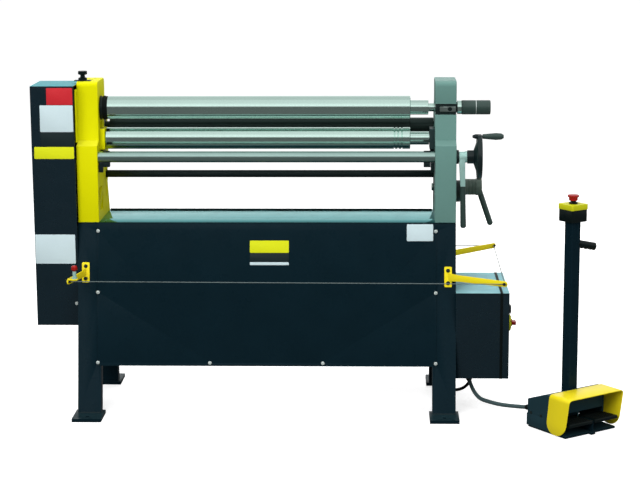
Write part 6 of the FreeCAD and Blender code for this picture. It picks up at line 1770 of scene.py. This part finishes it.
    def button(self) -> None:
        """The lid, the dark collar and the red mushroom with its thin rim and stem."""
        at, half, lid = (0, self.post[0]), self.lid_half, self.lid_top
        outline = rounded_rectangle(-half, half, -half, half, 6.0)
        place = STATION @ Matrix.Translation((*at, 0))
        form = Form().bored(outline, self.lid_bore, self.lid_z, lid + 3.0, place)
        self.shop.piece("stop_box_lid", form, YELLOW_PLASTIC, "frame", "yellow_plastic", "stop_lid",
                        width=1.4)
        form = Form().turned(Along.Z, at, [(lid + 2, 9.3), (lid + 2, 15), (lid + 7, 14.6), (lid + 8, 13.6),
                                           (lid + 8, 9.3)], 48, STATION)
        self.shop.piece("stop_collar", form, BLACK_PLASTIC, "frame", "black_plastic")
        cap = lid + self.cap_rise
        form = Form().turned(Along.Z, at, [
            (cap, 0), (cap, 13.4), (cap + 0.8, 14.2), (cap + 10.5, 14.8), (cap + 12.4, 18.6),
            (cap + 13, 19), (cap + 16.6, 19), (cap + 18.4, 18), (cap + 19.4, 14), (cap + 19.8, 8),
            (cap + 19.8, 0)], 64, STATION)
        self.shop.piece("stop_mushroom_cap", form, RED_PLASTIC, "stop_mushroom", "red_plastic", "stop_button")
        low, radius = self.stem
        form = Form().turned(Along.Z, at, rod(low, cap, radius), 48, STATION)
        self.shop.piece("stop_mushroom_stem", form, BLACK_PLASTIC, "stop_mushroom", "red_plastic")


# ---------------------------------------------------------------- stand details, plates and carried nodes


@dataclass
class StandDetails(Assembly):
    """The dark lip along the back of the stand's top, and the strip at the side of the left casting."""

    lip: Four = (-575.0, 575.0, 155.5, 158.5)
    lip_z: Pair = (656.5, 660.5)
    strip: Four = (-649.4, -647.6, -104.0, -63.0)
    strip_z: Pair = (932.0, 1112.0)

    def build(self) -> None:
        """Make the lip and the strip."""
        form = Form().extruded(rounded_rectangle(*self.lip, 1.0, 2), *self.lip_z)
        self.shop.piece("stand_lip", form, BLACK_STEEL, "frame", "dark_paint", width=0.3)
        form = Form().extruded(rounded_rectangle(*self.strip, 0.5, 2), *self.strip_z)
        self.shop.piece("casting_side_strip", form, YELLOW, "frame", "yellow_paint")


@dataclass(frozen=True)
class BlankPlate:
    """A blank plate: its finish and its place in X and Z."""

    name: str
    finish: Finish
    left: float
    right: float
    low: float
    top: float
    sloping: bool = False


@dataclass
class Plates(Assembly):
    """The blank plates on the cover and on the stand, and the cover's screw."""

    cover_y: float = -129.0
    sheet: float = 0.9
    corner: float = 3.0
    screw: Pair = (-658.0, 376.0)
    plates: tuple[BlankPlate, ...] = (
        BlankPlate("cover_red_plate", FILM_RED, -741, -652, 1064, 1122),
        BlankPlate("cover_white_plate", FILM_WHITE, -765, -652, 972, 1063),
        BlankPlate("cover_black_plate", FILM_BLACK, -765, -652, 922, 971),
        BlankPlate("cover_yellow_plate", FILM_YELLOW, -788, -652, 880, 921),
        BlankPlate("cover_low_plate", FILM_WHITE, -795, -657, 516, 618),
        BlankPlate("stand_yellow_plate", FILM_YELLOW, -57, 77, 554, 596, True),
        BlankPlate("stand_black_plate", FILM_BLACK, -57, 77, 523, 554, True),
        BlankPlate("stand_white_plate", FILM_WHITE, -57, 77, 513, 523, True),
        BlankPlate("stand_right_plate", FILM_WHITE, 481, 571, 594, 652, True))

    def build(self) -> None:
        """Make the plates and the screw."""
        for plate in self.plates:
            x, z = (plate.left + plate.right) / 2, (plate.low + plate.top) / 2
            wide, high = (plate.right - plate.left) / 2, (plate.top - plate.low) / 2
            y, out = (front_y(z, 2.0), SLOPE_OUT) if plate.sloping else (self.cover_y, TO_FRONT)
            place = facing((x, y, z), out)
            outline = rounded_rectangle(-wide, wide, -high, high, self.corner)
            form = Form().extruded(outline, 0.0, self.sheet, place)
            self.shop.piece(plate.name, form, plate.finish, "frame", "plate_film", "blank_plates", width=0.2)
        form = Form().turned(Along.Y, self.screw, [
            (-133, 0), (-133, 4.5), (-132.3, 5.6), (-131, 6), (-129, 6), (-129, 2.5), (-117, 2.5),
            (-117, 0)], 32)
        self.shop.piece("cover_screw", form, ZINC, "frame", "plate_film")


@dataclass
class CarriedNodes(Assembly):
    """The nodes whose shape is right: they keep it, and get their finish and edge breaks."""

    finishes: tuple[tuple[Finish, float, str], ...] = (
        (DARK, 1.2, "left_leg_frame right_leg_frame"), (DARK, 0.8, "pedal_base"), (DARK, 0.0, "station_post"),
        (DARK, 0.5, "front_panel rear_panel motor_shelf"), (STAND_TOP, 0.6, "stand_top"),
        (DARK_TOP, 0.0, "gear_cover"), (CABINET, 0.5, "cabinet_body cabinet_door"),
        (HOUSING, 0.0, "pedal_housing"), (YELLOW, 0.9, "left_frame"), (GREY_GREEN, 0.9, "right_frame"),
        (BLACK_IRON, 0.0, "handwheel"), (BLACK_STEEL, 0.5, "knob_plate"),
        (BLACK_STEEL, 0.4, "adjuster_plates drive_spindle pedal_axle"),
        (BLACK_STEEL, 0.3, "drive_chain lock_screw cross_shaft"), (BRIGHT_STEEL, 0.3, "adjuster_shaft"),
        (CAST, 0.4, "motor_sprocket rear_blocks"), (MOTOR, 1.5, "gear_motor"), (GRIP, 0.0, "crank_grip"),
        (BLACK_PLASTIC, 0.0, "frame_knob"), (BLACK_PLASTIC, 0.4, "cable_glands"),
        (BLACK_PLASTIC, 0.8, "left_pedal right_pedal"), (BLACK_PLASTIC, 0.6, "stop_box"),
        (RED_PLASTIC, 0.4, "trip_reset"), (WIRE, 0.0, "trip_wire"))

    def build(self) -> None:
        """Dress every node that is carried over."""
        for finish, width, names in self.finishes:
            for name in names.split():
                self.shop.dress(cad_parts[name], finish, width)
                LOG.info("%s keeps its shape", name)


# ---------------------------------------------------------------- the whole machine


def main() -> None:
    """Build the studio, the cables and every other assembly in order."""
    logging.basicConfig(level=logging.INFO, format="%(name)s: %(message)s")
    random.seed(7)
    Studio().build()
    shop = Shop()
    for assembly in (Cables, Rolls, DriveEnd, LowerBlocks, PinchLever, SwingEnd, Adjuster, Fasteners,
                     TripArms, CabinetDetails, PedalStation, StandDetails, Plates, CarriedNodes):
        assembly(shop).build()
        LOG.info("%s finished", assembly.__name__)


if __name__ == "__main__":
    main()
